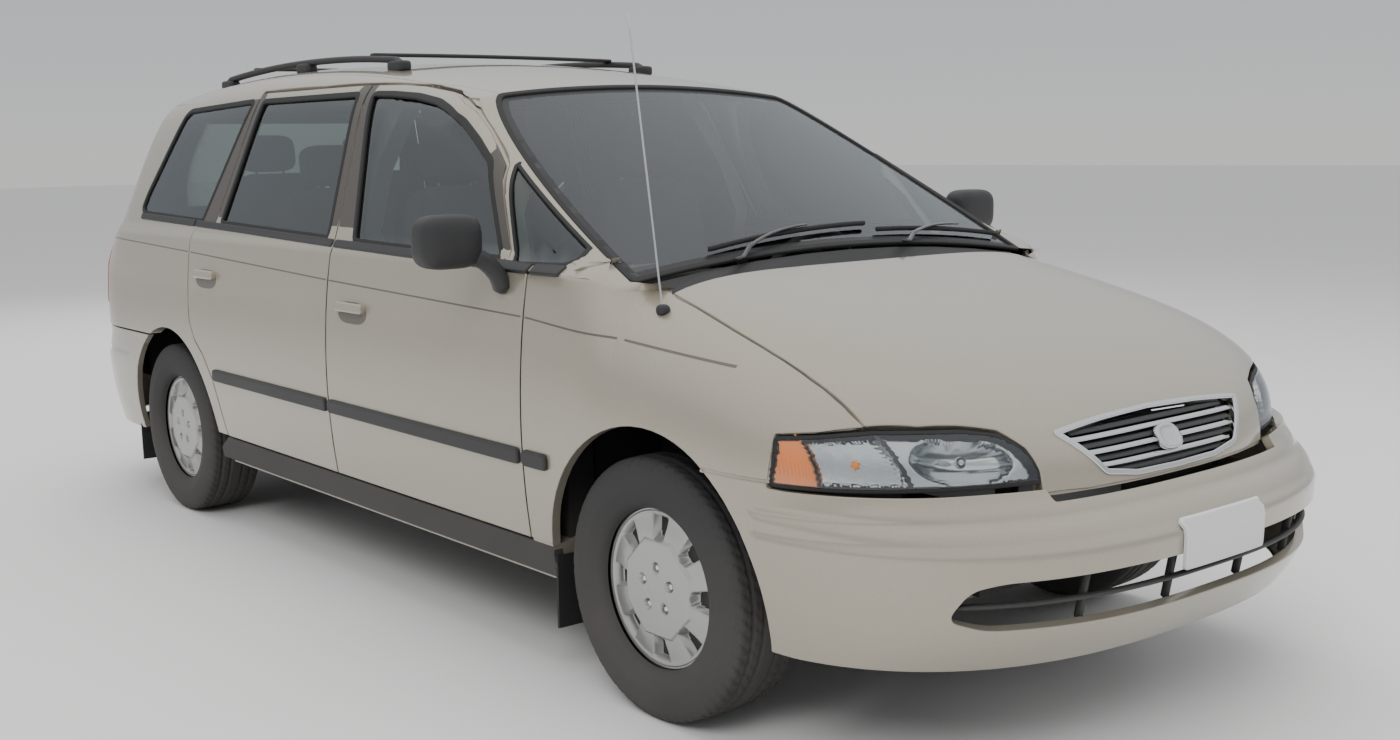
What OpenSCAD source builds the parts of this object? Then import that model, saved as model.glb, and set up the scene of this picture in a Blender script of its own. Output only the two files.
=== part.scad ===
// Family minivan with four hinged doors, a lifting tailgate and a lifting hood.
// Millimetres. The front is -Y, the left side is +X and +Z is up.
// The origin is on the ground, under the middle of the bounding box.

/* [Body] */
// Greatest half width of the body sides
body_half = 885; // [875:1:890]
// Height of the roof at its highest point
roof_h = 1632; // [1620:1:1640]
// Height of the hood at the cowl
cowl_h = 1030; // [1020:1:1035]
// Foremost point of the hood and fenders
nose_y = -2265; // [-2275:1:-2255]
// Rearmost point of the tailgate
tail_y = 2300; // [2290:1:2310]
// Half of the overall length, over the bumpers
end_y = 2380; // [2370:5:2390]

/* [Panels] */
// Gap around doors and lids
gap = 6; // [5.5:0.5:7]
// Thickness of outer panels
skin_t = 24; // [20:1:28]
// Thickness of a whole door below the window
door_t = 82; // [70:2:88]
// Thickness of the glass
glass_t = 5; // [4:0.5:6]

/* [Wheels] */
// Distance between the axles
wheelbase = 2830; // [2820:5:2840]
// Front axle position along Y
front_axle_y = -1450; // [-1460:5:-1440]
// Half of the track
track_half = 764; // [760:1:768]
// Rolling radius of the tyre
tyre_r = 316; // [312:1:318]
// Width of the tyre
tyre_w = 205; // [195:5:205]
// Radius of the rim at the tyre bead
rim_r = 196; // [190:1:200]
// Radius of the wheel arches
arch_r = 390; // [385:1:395]

/* [Controls] */
// Radius of the steering wheel at the middle of its rim
steer_r = 185; // [175:5:190]
// Slope of the steering column from level
column_tilt = 27; // [22:1:32]

/* [Hidden] */

paint = "#b9b1a6";
black = "#1c1c1d";
dark = "#3a3a3c";
clear = "#9fb4b0";
rear_axle_y = front_axle_y + wheelbase;
cowl_y = -1330;
roof_front_y = -400;
screen_slope = 0.53;
stub_r = 25;

// ---- Body surface ---------------------------------------------------------
// The outside is one surface: half_width(y, z) gives its half width, and hood_z, sky_z,
// nose_at and tail_at give the same surface seen from above, in front and behind.

function span(a, b, n) = [for (i = [0:n]) a + (b - a) * i / n];
function clamp(t) = min(max(t, 0), 1);
function smooth(t) = let(c = clamp(t)) c * c * (3 - 2 * c);
function rounded(t, p) = pow(max(1 - pow(clamp(t), p), 0), 1 / p);

// Height of the middle of the hood, the windscreen and the roof
function hood_mid(y) =
    let(u = max(cowl_y - y, 0))
    550 + (cowl_h - 550 - 0.22 * u) * rounded(u / (cowl_y - nose_y), 3);
function screen_mid(y) = roof_h - 117 + screen_slope * (y - roof_front_y);
function roof_mid(y) =
    y > 850 ? roof_h - 95 * pow((y - 850) / 1200, 2) : roof_h - 117 * pow((850 - y) / 1250, 2.2);
function sky_mid(y) = y > roof_front_y ? roof_mid(y) : screen_mid(y);
function crown(x) = 35 * pow(x / 600, 2);

// Rounding of the body in plan at the nose and at the tail
function nose_plan(y) = rounded((-1700 - y) / (-1700 - nose_y), 2.3);
function tail_start(z) = 1800 - 0.42 * max(z - 900, 0);
function tail_len(z) = tail_y - 1800 - 0.12 * max(z - 900, 0);
function tail_plan(y, z) =
    rounded((y - tail_start(z)) / tail_len(z), 3.2 + 0.8 * smooth((z - 1000) / 400));

// Widths of the lower body and of the glasshouse before their top edges are rounded
function lower_w(z) = body_half - 38 * pow((min(z, 1100) - 660) / 400, 2);
function upper_w(y, z) =
    (body_half - 53 - 0.345 * (z - 1060)) * (1 - 0.05 * pow(max(-200 - y, 0) / 930, 2));

function lower_top(y) = y < cowl_y ? hood_mid(y) : cowl_h + 900 * smooth((y - cowl_y) / 360);
function lower_half(y, z) =
    lower_w(z) * nose_plan(y) * tail_plan(y, z)
    * rounded((z - 500) / max(lower_top(y) - 500, 1), 5);
function upper_half(y, z, x, n = 6) =
    n == 0 ? x
    : let(w = upper_w(y, z) * tail_plan(y, z), top = sky_mid(y) - crown(x))
      upper_half(y, z, (x + w * rounded((z - 1000) / max(top - 1000, 1), 14)) / 2, n - 1);
function half_width(y, z) =
    let(k = y < cowl_y ? 0 : smooth((z - 1020) / 50))
    (k < 1 ? (1 - k) * lower_half(y, z) : 0)
    + (k > 0 ? k * upper_half(y, z, upper_w(y, z) * tail_plan(y, z)) : 0);

// Height of the hood and of the windscreen and roof above a place in plan
function hood_z(x, y) =
    500 + (hood_mid(y) - 500) * rounded(abs(x) / (lower_w(950) * nose_plan(y)), 5);
function sky_w(y) = upper_w(y, side_top(y)) * tail_plan(y, side_top(y));
function sky_z(x, y) =
    1000 + (sky_mid(y) - crown(x) - 1000) * rounded(abs(x) / sky_w(y), 14);

// Place along Y where the half width at height z has shrunk to x
function nose_at(x, z, near = -1400, far = nose_y, n = 16) =
    let(m = (near + far) / 2)
    n == 0 ? m
    : lower_half(m, z) > abs(x) ? nose_at(x, z, m, far, n - 1) : nose_at(x, z, near, m, n - 1);
function tail_at(x, z, near = 1200, far = tail_y + 5, n = 16) =
    let(m = (near + far) / 2)
    n == 0 ? m
    : half_width(m, z) > abs(x) ? tail_at(x, z, m, far, n - 1) : tail_at(x, z, near, m, n - 1);

// Half width of the windscreen and roof panels
function rim_x(y) =
    y < roof_front_y ? 540 + 198 * rounded(1 - (roof_front_y - y) / 870, 1.6)
    : y < 1400 ? 540 + 55 * smooth((y - roof_front_y) / 350)
    : 595 - 80 * pow((y - 1400) / 600, 2);

// ---- Shells ---------------------------------------------------------------
// A shell is a closed plate between two offsets below a grid of surface points. Its
// columns crossed with its rows point outwards.

function grid_normal(p, i, j) =
    let(r = len(p) - 1, c = len(p[0]) - 1,
        dr = p[min(i + 1, r)][j] - p[max(i - 1, 0)][j],
        dc = p[i][min(j + 1, c)] - p[i][max(j - 1, 0)],
        n = cross(dc, dr))
    n / norm(n);
function offset_grid(p, d) =
    [for (i = [0:len(p) - 1], j = [0:len(p[0]) - 1]) p[i][j] - d * grid_normal(p, i, j)];

module shell(p, outer, inner) {
    rows = len(p);
    cols = len(p[0]);
    n = rows * cols;
    function quad(a, b, c, d) = [[a, b, c], [a, c, d]];
    faces = concat(
        [for (i = [0:rows - 2], j = [0:cols - 2])
            let(a = i * cols + j) each quad(a, a + cols, a + cols + 1, a + 1)],
        [for (i = [0:rows - 2], j = [0:cols - 2])
            let(a = n + i * cols + j) each quad(a, a + 1, a + cols + 1, a + cols)],
        [for (j = [0:cols - 2]) each quad(j, j + 1, n + j + 1, n + j)],
        [for (j = [0:cols - 2])
            let(a = (rows - 1) * cols + j) each quad(a, a + n, a + n + 1, a + 1)],
        [for (i = [0:rows - 2])
            let(a = i * cols) each quad(a, a + n, a + n + cols, a + cols)],
        [for (i = [0:rows - 2])
            let(a = i * cols + cols - 1) each quad(a, a + cols, a + n + cols, a + n)]);
    polyhedron(concat(offset_grid(p, outer), offset_grid(p, inner)), faces, convexity = 8);
}

// Turns cuts in a shell into one faceted skin
module faceted() resize([0, 0, 0]) children();

// Extrudes a (y, z) outline along X, and an (x, z) outline along Y
module along_x(x0, x1) translate([x0, 0, 0]) rotate([90, 0, 90]) linear_extrude(x1 - x0) children();
module along_y(y0, y1) translate([0, y1, 0]) rotate([90, 0, 0]) linear_extrude(y1 - y0) children();

// Draws the left side as it is and the right side mirrored
module on_side(s) mirror([s < 0 ? 1 : 0, 0, 0]) children();
module both_sides() for (s = [-1, 1]) on_side(s) children();

// Level where the side turns over towards the rim of the windscreen and roof
function side_top(y) = sky_mid(y) - crown(rim_x(y)) - 14;
function side_grid(ys, zs) = [for (z = zs) [for (y = ys) [half_width(y, z), y, z]]];
// The same, with rows that run from level z0 up to the edge of the roof
function rising_grid(ys, z0, n) =
    [for (k = span(0, 1, n)) [for (y = ys)
        let(z = z0 + k * (side_top(y) - z0)) [half_width(y, z), y, z]]];
// The strip that turns from the side over to the rim, at angle a of the rounding
function rail_point(y, a) =
    let(x = sky_w(y) * pow(cos(a), 1 / 7))
    [x, y, 1000 + (sky_mid(y) - crown(x) - 1000) * pow(sin(a), 1 / 7)];

// ---- Outlines, seen from the left as (y, z) ---------------------------------

module front_door_outline() polygon([
    [-969, 352], [82, 352], [82, 1052], [150, 1532], [0, 1527], [-140, 1516], [-266, 1496],
    [-360, 1470], [-438, 1441], [-540, 1385], [-648, 1318], [-690, 1291], [-862, 1036],
    [-969, 1028]]);
module front_glass_outline() polygon([
    [-812, 1052], [-25, 1068], [112, 1506], [0, 1502], [-140, 1491], [-266, 1471],
    [-345, 1448], [-438, 1413], [-540, 1358], [-640, 1298]]);
module rear_door_outline() polygon([
    [89, 352], [910, 352], [941, 468], [972, 548], [1040, 631], [1106, 680], [1143, 740],
    [1152, 800], [1167, 1076], [1000, 1073], [905, 1533], [158, 1533], [89, 1052]]);
module rear_glass_outline() polygon([
    [137, 1071], [957, 1092], [874, 1507], [198, 1508]]);
module quarter_glass_outline() polygon([
    [1118, 1096], [1690, 1112], [1716, 1130], [1700, 1180], [1530, 1472], [1500, 1488],
    [951, 1507]]);
module corner_glass_outline() polygon([
    [-876, 1046], [-1085, 1052], [-1112, 1066], [-1104, 1084], [-706, 1300]]);

module arch_cut(y, r) translate([0, y, tyre_r]) rotate([0, 90, 0])
    cylinder(h = 2200, r = r, center = true, $fn = 64);

module arches_cut() {
    arch_cut(front_axle_y - 5, arch_r);
    hull() {
        arch_cut(rear_axle_y - 6, arch_r - 8);
        translate([-1100, 905, 200]) cube([2200, 20, 162]);
    }
}

// Outlines seen from the front or from behind as (x, z)
module lamp_outline() polygon([
    [425, 560], [425, 650], [442, 700], [484, 738], [560, 752], [728, 758], [860, 738],
    [1000, 738], [1000, 560]]);
module grille_outline() polygon([
    [-352, 726], [-250, 634], [-150, 616], [0, 610], [150, 616], [250, 634], [352, 726],
    [0, 742]]);
module intake_outline() polygon([
    [-690, 385], [-660, 448], [-600, 462], [600, 462], [660, 448], [690, 385], [620, 360],
    [-620, 360]]);
module tail_window_outline() polygon([
    [-560, 1096], [560, 1096], [578, 1110], [500, 1440], [470, 1466], [-470, 1466],
    [-500, 1440], [-578, 1110]]);

// Edge of the hood in plan, on the left
hood_edge = [[684, cowl_y + 20], [695, -1437], [715, -1590], [728, -1728], [734, -1851],
    [731, -2010], [731, -2300]];
module hood_plan() polygon(concat(hood_edge, [for (i = [len(hood_edge) - 1:-1:0])
    [-hood_edge[i][0], hood_edge[i][1]]]));

// Half width of the tailgate at height z
function gate_x(z) = z < 1040 ? 690 : 690 - 175 * pow((z - 1040) / 480, 1.2);

// ---- Body panels ------------------------------------------------------------

function pillar_point(y, z) =
    [half_width(y, z) - 40 - (door_t - 28) * (1 - smooth((z - 1030) / 60))
        - 22 * smooth((z - 1470) / 60), y, z];

module rail() {
    ys = concat(span(-1135, -420, 8), span(-330, 1430, 9), span(1530, 1886, 4));
    shell([for (k = span(0, 1, 5)) [for (y = ys)
        let(top = acos(pow(min((rim_x(y) + 3) / sky_w(y), 0.985), 7)))
        rail_point(y, 14 + k * (top - 14))]], 0, 46);
}

// Quarter panel: its last column follows the edge of the tailgate round the corner
module quarter() shell([for (z = [330, 450, 560, 660, 770, 880, 980, 1070, 1160, 1260, 1360,
    1440, 1500]) [for (k = span(0, 1, 14))
        let(y = 880 + (tail_at(gate_x(z) + gap, z) - 880) * (1 - pow(1 - k, 1.6)))
        [half_width(y, z), y, z]]], 0, 42);

module tail_lamp_zone(grow) translate([700 - grow, 2030 - grow, 740 - grow])
    cube([300, 400, 285 + 2 * grow]);

module body_side(filler) color(paint) faceted() union() {
    difference() {
        union() {
            shell(side_grid(span(-1100, 960, 8), [258, 300, 345]), 0, 90);
            quarter();
            shell(rising_grid(span(-1135, -640, 6), 1034, 4), 0, 42);
            rail();
        }
        along_x(300, 1000) {
            offset(delta = gap) front_door_outline();
            offset(delta = gap) rear_door_outline();
            offset(delta = 1) quarter_glass_outline();
            offset(delta = 1) corner_glass_outline();
            if (filler) translate([1560, 800]) square([150, 130]);
        }
        arches_cut();
        tail_lamp_zone(2);
        rear_bumper_zone();
    }
    shell([for (z = [330, 500, 700, 900, 1030, 1100, 1300, 1535]) [for (y = [-10, 70, 150])
        let(lean = 60 * clamp((z - 1050) / 490)) pillar_point(y + lean, z)]], 0, 56);
}

function fender_top(y) =
    y < cowl_y ? 500 + 0.94 * (hood_mid(y) - 500) : min(1026, max(998, side_top(y)));

module fender_rows() {
    ys = concat(span(-2080, -1700, 6), span(-1620, -975 - gap, 8));
    rows = concat([for (z = [340, 450, 560, 640, 720, 790]) [for (y = ys) z]],
        [for (k = span(0.2, 1, 5)) [for (y = ys) 790 + k * (fender_top(y) - 790)]]);
    shell([for (r = rows) [for (j = [0:len(ys) - 1]) [half_width(ys[j], r[j]), ys[j], r[j]]]],
        0, skin_t);
}

module front_fenders() color(paint) both_sides() faceted() difference() {
    fender_rows();
    arches_cut();
    translate([0, 0, 400]) linear_extrude(800) offset(delta = gap) hood_plan();
    along_y(-2400, -1857) offset(delta = 2) lamp_outline();
    translate([0, -2400, 0]) cube([1000, 2400 - 1690, 641]);
}

// Plan of the top edge of the tailgate; the roof ends just in front of it
function gate_edge(x) = tail_at(x, 1492);
function roof_y(f, k) =
    roof_front_y + gap + k * (gate_edge(f * 525) - 44 - gap - roof_front_y - gap);

module roof() color(paint) shell([for (k = concat(span(0, 0.16, 4), span(0.26, 1, 8)))
    [for (f = span(-1, 1, 12)) let(y = roof_y(f, k), x = f * rim_x(y)) [x, y, sky_z(x, y)]]], 0, 17);

module windscreen() color(clear) shell([for (y = span(-1250, roof_front_y - 4, 8))
    [for (f = span(-1, 1, 10)) let(x = f * rim_x(y)) [x, y, sky_z(x, y)]]], 2, 2 + glass_t);

module cowl() color(black) shell(concat(
    [for (y = [cowl_y - 2, -1290]) [for (x = span(-686, 686, 8)) [x, y, hood_z(x, cowl_y) - 13]]],
    [[for (x = span(-686, 686, 8)) [x, -1256, sky_z(x, -1250) - 12]]]), 0, 12);

module side_pane(t0, t1) intersection() {
    shell(rising_grid(concat(span(-1180, 60, 10), span(160, 1760, 12)), 1000, 6), t0, t1);
    along_x(300, 1000) children();
}

module side_glass() color(clear) both_sides() faceted() side_pane(6, 6 + glass_t) {
    quarter_glass_outline();
    corner_glass_outline();
}

// Nose: columns run from the middle of the front round to the side of the car
function nose_grid(zs, y_side, n) = [for (z = zs) [for (k = span(0, 1, n))
    let(y0 = nose_at(0, z), y = y_side + (y0 - y_side) * (1 - pow(k, 2.3)))
    [k == 0 ? 0 : lower_half(y, z), y, z]]];
function mirror_rows(p) = [for (r = p)
    concat([for (j = [len(r) - 1:-1:1]) [-r[j][0], r[j][1], r[j][2]]], r)];

// Point on the nose and hood along a ray that leans forward by b from the cowl
function hood_point(x, b, low = 0.2, high = 1.5, n = 16) =
    let(m = (low + high) / 2, y = cowl_y - 8 - 925 * m * sin(b), z = 606 + 424 * m * cos(b))
    n == 0 ? [x, y, z]
    : z < hood_mid(y) && lower_half(y, z) > abs(x) ? hood_point(x, b, m, high, n - 1)
    : hood_point(x, b, low, m, n - 1);

module hood() color(paint) faceted() difference() {
    intersection() {
        shell([for (b = span(90, 0, 15)) [for (f = span(-1, 1, 16)) hood_point(f * 736, b)]], 0, 26);
        translate([0, 0, 400]) linear_extrude(800) hood_plan();
    }
    both_sides() along_y(-2500, -1700) offset(delta = gap) lamp_outline();
    along_y(-2500, -2000) offset(delta = 1) grille_outline();
}

module grille() color(black) faceted() intersection() {
    shell(mirror_rows(nose_grid([602, 640, 675, 710, 750], -1990, 9)), 4, 22);
    along_y(-2500, -2000) grille_outline();
}

module headlamps() color("#d8dcdc") both_sides() faceted() intersection() {
    shell(nose_grid([600, 640, 680, 720, 765], -1840, 9), 0, 46);
    difference() {
        along_y(-2400, -1859) lamp_outline();
        translate([0, -2400, 0]) cube([1000, 1000, 640]);
    }
}

// ---- Bumpers ------------------------------------------------------------------

// How far the bumpers stand out at height z, from 0 to 1
function bulge(z) = z > 480 ? smooth((642 - z) / 135) : 1 - pow((480 - z) / 260, 2.5);
function bumper_point(z, a, y_side, y_tip, p) =
    let(n = 2 / p, c = cos(a), w = lower_w(z) + 3 * bulge(z),
        tip = y_tip + (end_y - abs(y_tip)) * sign(y_tip) * bulge(z))
    [w * sign(c) * pow(abs(c), n), y_side + (tip - y_side) * pow(sin(a), n), z];
bumper_rows = [256, 290, 340, 400, 460, 500, 535, 570, 598, 620, 638];

module front_bumper() color(paint) faceted() difference() {
    shell([for (z = bumper_rows) [for (a = span(180, 0, 26))
        bumper_point(z, a, -1680, nose_y, 2.6)]], 0, 32);
    arches_cut();
    along_y(-2500, -2000) intake_outline();
    translate([-432, -2400, 599]) cube([864, 400, 60]);
}

module rear_bumper_zone() translate([300, 1500, 200]) cube([700, 1000, 455 + gap]);
module rear_bumper() color(paint) faceted() difference() {
    shell([for (z = concat(bumper_rows, [655])) [for (a = span(0, 180, 22))
        bumper_point(z, a, 1640, tail_y, 4)]], 0, 32);
    arches_cut();
}

module tail_lamps() color("#8d1b1b") both_sides() faceted() intersection() {
    shell([for (z = span(735, 1030, 4)) [for (k = span(0, 1, 10))
        let(y = 1980 + (tail_at(695, z) - 1980) * (1 - pow(1 - k, 1.6)))
        [half_width(y, z), y, z]]], 0, 40);
    tail_lamp_zone(0);
}

// ---- Tailgate -------------------------------------------------------------------

gate_rows = [664, 740, 820, 900, 980, 1050, 1130, 1220, 1310, 1400, 1460, 1492];
gate_fold = [[9, 0.7], [28, 1]];
function gate_grid() = concat(
    [for (z = gate_rows) [for (f = span(1, -1, 14))
        let(x = f * gate_x(z)) [x, tail_at(x, z), z]]],
    [for (r = gate_fold) [for (f = span(1, -1, 14))
        let(x = f * (gate_x(1492) - 3), y = gate_edge(x) - r[0],
            z = sky_z(x, gate_edge(x) - gate_fold[1][0]))
        [x, y, 1492 + r[1] * (z - 1492)]]]);

module tailgate() color(paint) faceted() difference() {
    shell(gate_grid(), 0, 22);
    along_y(1800, 2500) tail_window_outline();
}

module tailgate_glass() color(clear) faceted() intersection() {
    shell(gate_grid(), 6, 6 + glass_t);
    along_y(1800, 2500) offset(delta = -1) tail_window_outline();
}

// ---- Doors ------------------------------------------------------------------------

door_levels = [345, 450, 560, 660, 760, 860, 950, 1040];

// Outer skin and window frame, with a deeper box below the window set in from the edges
module door(y0, y1) faceted() union() {
    difference() {
        intersection() {
            union() {
                shell(side_grid(span(y0, y1, 8), concat(door_levels, [1060])), 0, skin_t);
                shell(rising_grid(span(y0, y1, 10), 1050, 6), 0, skin_t);
            }
            along_x(300, 1000) children(0);
        }
        along_x(300, 1000) offset(delta = 1) children(1);
    }
    intersection() {
        shell(side_grid(span(y0, y1, 6), door_levels), skin_t - 4, door_t);
        along_x(300, 1000) offset(delta = -28) children(0);
    }
}

module front_door(s) color(paint) on_side(s) door(-1010, 170) {
    front_door_outline();
    front_glass_outline();
}
module rear_door(s) color(paint) on_side(s) door(60, 1200) {
    rear_door_outline();
    rear_glass_outline();
}
module front_glass(s) color(clear) on_side(s) faceted() side_pane(8, 8 + glass_t)
    front_glass_outline();
module rear_glass(s) color(clear) on_side(s) faceted() side_pane(8, 8 + glass_t)
    rear_glass_outline();

// Rounded housing on a foot that stands on the door below the window
module mirror_unit(s) color(black) on_side(s) {
    hull() {
        translate([965, -850, 1110]) scale([1, 0.55, 0.85]) sphere(r = 75, $fn = 24);
        translate([1045, -835, 1120]) scale([0.6, 0.5, 0.8]) sphere(r = 75, $fn = 24);
    }
    hull() {
        translate([900, -850, 1062]) cube([50, 60, 20]);
        translate([852, -880, 985]) cube([14, 70, 60]);
    }
}

module fuel_door() color(paint) faceted() intersection() {
    shell(side_grid(span(1540, 1730, 3), [780, 860, 950]), 0, 4);
    along_x(300, 1000) translate([1560 + gap, 800 + gap]) square([150 - 2 * gap, 130 - 2 * gap]);
}

// ---- Running gear -----------------------------------------------------------------

module tyre() color(black) rotate([0, 90, 0]) rotate_extrude($fn = 96) difference() {
    hull() {
        translate([rim_r + 4, -tyre_w / 2 + 12]) square([10, tyre_w - 24]);
        translate([tyre_r - 60, -tyre_w / 2]) square([20, tyre_w]);
        translate([tyre_r - 14, -tyre_w / 2 + 16]) square([14, tyre_w - 32]);
    }
    translate([0, -tyre_w / 2 + 30]) square([tyre_r - 14, tyre_w - 60]);
}

cover_x = 78;
// Rim, brake disc and the domed cover with its openings; +X is the outer side
module wheel() color("#b5b5b2") difference() {
    rotate([0, 90, 0]) {
        rotate_extrude($fn = 96) polygon([[rim_r - 12, -72], [rim_r + 3, -72], [rim_r + 3, 72],
            [rim_r - 2, 84], [rim_r - 22, cover_x], [70, cover_x - 4], [stub_r + 0.05, cover_x - 6],
            [stub_r + 0.05, 2], [70, 2], [70, cover_x - 24], [rim_r - 26, cover_x - 22],
            [rim_r - 12, 40]]);
        translate([0, 0, -64]) difference() {
            cylinder(h = 18, r = 128, $fn = 64);
            translate([0, 0, -1]) cylinder(h = 20, r = stub_r + 0.05, $fn = 64);
        }
        translate([0, 0, -47]) difference() {
            cylinder(h = 50, r = 50, $fn = 64);
            translate([0, 0, -1]) cylinder(h = 52, r = stub_r + 0.05, $fn = 64);
        }
    }
    for (k = [0:7]) rotate([k * 45, 0, 0]) translate([cover_x - 40, -18, 142]) cube([60, 36, 24]);
}

module at_wheel(s, y) translate([s * track_half, y, tyre_r]) on_side(s) children();

// Upright with its stub axle, and the brake caliper that straddles the disc
module upright() color(dark) {
    translate([-149, -28, -70]) cube([35, 56, 450]);
    translate([-115, 0, 0]) rotate([0, 90, 0]) cylinder(h = 40, r = 46, $fn = 48);
    translate([-80, 0, 0]) rotate([0, 90, 0]) cylinder(h = 148, r = stub_r, $fn = 64);
    translate([-149, 20, -20]) cube([40, 80, 40]);
    difference() {
        translate([-110, 88, -50]) cube([78, 66, 100]);
        translate([-70, 0, 0]) rotate([0, 90, 0]) cylinder(h = 30, r = 134, $fn = 64);
    }
}

module spring(x, y) {
    translate([x, y, 430]) cylinder(h = 300, r = 38, $fn = 48);
    translate([x, y, 225]) cylinder(h = 210, r = 16, $fn = 32);
}

module front_suspension() color(dark) {
    for (y = [-1640, -1340]) translate([-420, y, 205]) cube([840, 80, 45]);
    for (s = [-1, 1]) {
        translate([s * 380 - 40, -1640, 205]) cube([80, 380, 45]);
        translate([s * 530 - 130, front_axle_y - 32, 196]) cube([260, 64, 30]);
        translate([s * 550 - 75, front_axle_y - 60, 716]) cube([150, 120, 20]);
        spring(s * 545, front_axle_y);
    }
}

module rear_suspension() color(dark) {
    translate([-440, rear_axle_y - 45, 235]) cube([880, 90, 60]);
    for (s = [-1, 1]) {
        translate([s * 540 - 120, rear_axle_y - 36, 226]) cube([240, 72, 30]);
        translate([s * 545 - 25, 860, 270]) cube([50, 520, 46]);
        spring(s * 545, rear_axle_y);
    }
    for (s = [-1, 1]) at_wheel(s, rear_axle_y) {
        translate([-149, -28, -90]) cube([35, 56, 230]);
        translate([-115, 0, 0]) rotate([0, 90, 0]) cylinder(h = 40, r = 46, $fn = 48);
        translate([-80, 0, 0]) rotate([0, 90, 0]) cylinder(h = 148, r = stub_r, $fn = 64);
    }
}

module engine() color(dark) translate([-390, -1860, 262]) cube([780, 520, 520]);

module fuel_tank() color(dark) translate([-280, 300, 190]) cube([700, 520, 135]);

module exhaust() color("#77736c") {
    translate([-400, -1200, 262]) rotate([-90, 0, 0]) cylinder(h = 2260, r = 24, $fn = 32);
    hull() {
        translate([-400, 1060, 262]) sphere(r = 24, $fn = 24);
        translate([-400, 1200, 372]) sphere(r = 24, $fn = 24);
    }
    translate([-400, 1200, 372]) rotate([-90, 0, 0]) cylinder(h = 520, r = 24, $fn = 32);
    translate([-378, 1700, 350]) rotate([-90, 0, 0]) scale([1.5, 1, 1]) cylinder(h = 420, r = 75, $fn = 48);
    translate([-430, 2110, 325]) rotate([-90, 0, 0]) cylinder(h = 130, r = 22, $fn = 32);
}

// ---- Floor and bulkheads ------------------------------------------------------------

module underbody() color(dark) {
    translate([-752, -1030, 335]) cube([1504, 1890, 25]);
    translate([-752, 850, 335]) cube([1504, 12, 130]);
    translate([-500, 860, 440]) cube([1000, 1370, 25]);
    translate([-740, 1800, 440]) cube([1480, 430, 25]);
    translate([-690, 2212, 440]) cube([1380, 20, 215]);
    translate([-700, -1034, 335]) cube([1400, 20, 640]);
    for (s = [-1, 1]) {
        translate([s * 760 - 40, -1055, 330]) cube([80, 66, 680]);
        translate([s * 470 - 10, -1880, 420]) cube([20, 870, 380]);
        translate([s * 628 - 168, -1850, 778]) cube([336, 800, 20]);
        translate([s * 430 - 30, -2180, 440]) cube([60, 1160, 110]);
        translate([s * 490 - 10, 850, 330]) cube([20, 960, 430]);
        translate([s * 636 - 154, 960, 752]) cube([308, 860, 18]);
        translate([s * 636 - 154, 1802, 440]) cube([308, 18, 320]);
        translate([s * 636 - 154, 850, 440]) cube([308, 18, 330]);
        translate([s * 530 - 30, 1820, 360]) cube([60, 410, 84]);
        translate([s * 392 - 14, -2120, 540]) cube([28, 40, 110]);
    }
    translate([-600, -2200, 420]) cube([1200, 50, 130]);
    translate([-400, -2120, 640]) cube([800, 40, 50]);
}

// ---- Cabin ---------------------------------------------------------------------------

module dashboard() color(dark) hull() {
    translate([-700, -1000, 760]) cube([1400, 200, 210]);
    translate([-690, -1000, 985]) cube([1380, 90, 10]);
    translate([-700, -880, 700]) cube([1400, 110, 140]);
}

module seat(w, back_h) {
    hull() {
        translate([-w / 2, 0, 0]) cube([w, 480, 90]);
        translate([-w / 2 + 25, 20, 90]) cube([w - 50, 420, 40]);
    }
    hull() {
        translate([-w / 2 + 10, 430, 70]) cube([w - 20, 110, 20]);
        translate([-w / 2 + 50, 560, back_h]) cube([w - 100, 70, 10]);
    }
    hull() {
        translate([-120, 575, back_h + 20]) cube([240, 70, 20]);
        translate([-100, 590, back_h + 160]) cube([200, 60, 10]);
    }
    translate([-w / 2 + 60, 60, -220]) cube([w - 120, 355, 225]);
    for (x = [-60, 60]) translate([x, 610, back_h - 10]) cylinder(h = 60, r = 7, $fn = 24);
}

module front_seats() color(dark) for (s = [-1, 1]) translate([s * 370, -480, 580]) seat(500, 620);
module middle_seats() color(dark) for (s = [-1, 1]) translate([s * 340, 420, 580]) seat(520, 600);
module rear_seat() color(dark) for (s = [-1, 1]) translate([s * 236, 1180, 685]) seat(468, 540);

module steering_wheel() color(black)
    translate([370, -700, 900]) rotate([column_tilt - 90, 0, 0]) {
        rotate_extrude($fn = 64) translate([steer_r, 0]) circle(r = 14, $fn = 24);
        translate([0, 0, -30]) cylinder(h = 40, r = 62, $fn = 48);
        for (a = [20, 160, 270]) rotate([0, 0, a]) translate([50, -16, -14]) cube([steer_r - 55, 32, 14]);
        translate([0, 0, -62]) cylinder(h = 42, r = 22, $fn = 32);
    }

rack_x = 492;
rack_ys = span(250, 1550, 4);
module roof_rack() color(black) {
    both_sides() {
        for (j = [0:3]) hull() for (y = [rack_ys[j], rack_ys[j + 1]])
            translate([rack_x, y, sky_z(rack_x, y) + 30]) sphere(r = 12, $fn = 12);
        for (y = [rack_ys[0], rack_ys[2], rack_ys[4]])
            translate([rack_x - 14, y - 30, sky_z(rack_x, y) + 3]) cube([28, 60, 24]);
    }
    for (y = [430, 1330]) translate([-rack_x, y - 20, sky_z(rack_x, y) + 38]) cube([2 * rack_x, 40, 12]);
}

module mud_flaps() color(black) both_sides() {
    translate([672, -1072, 130]) cube([180, 8, 190]);
    translate([672, 1790, 130]) cube([180, 8, 190]);
}

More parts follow.
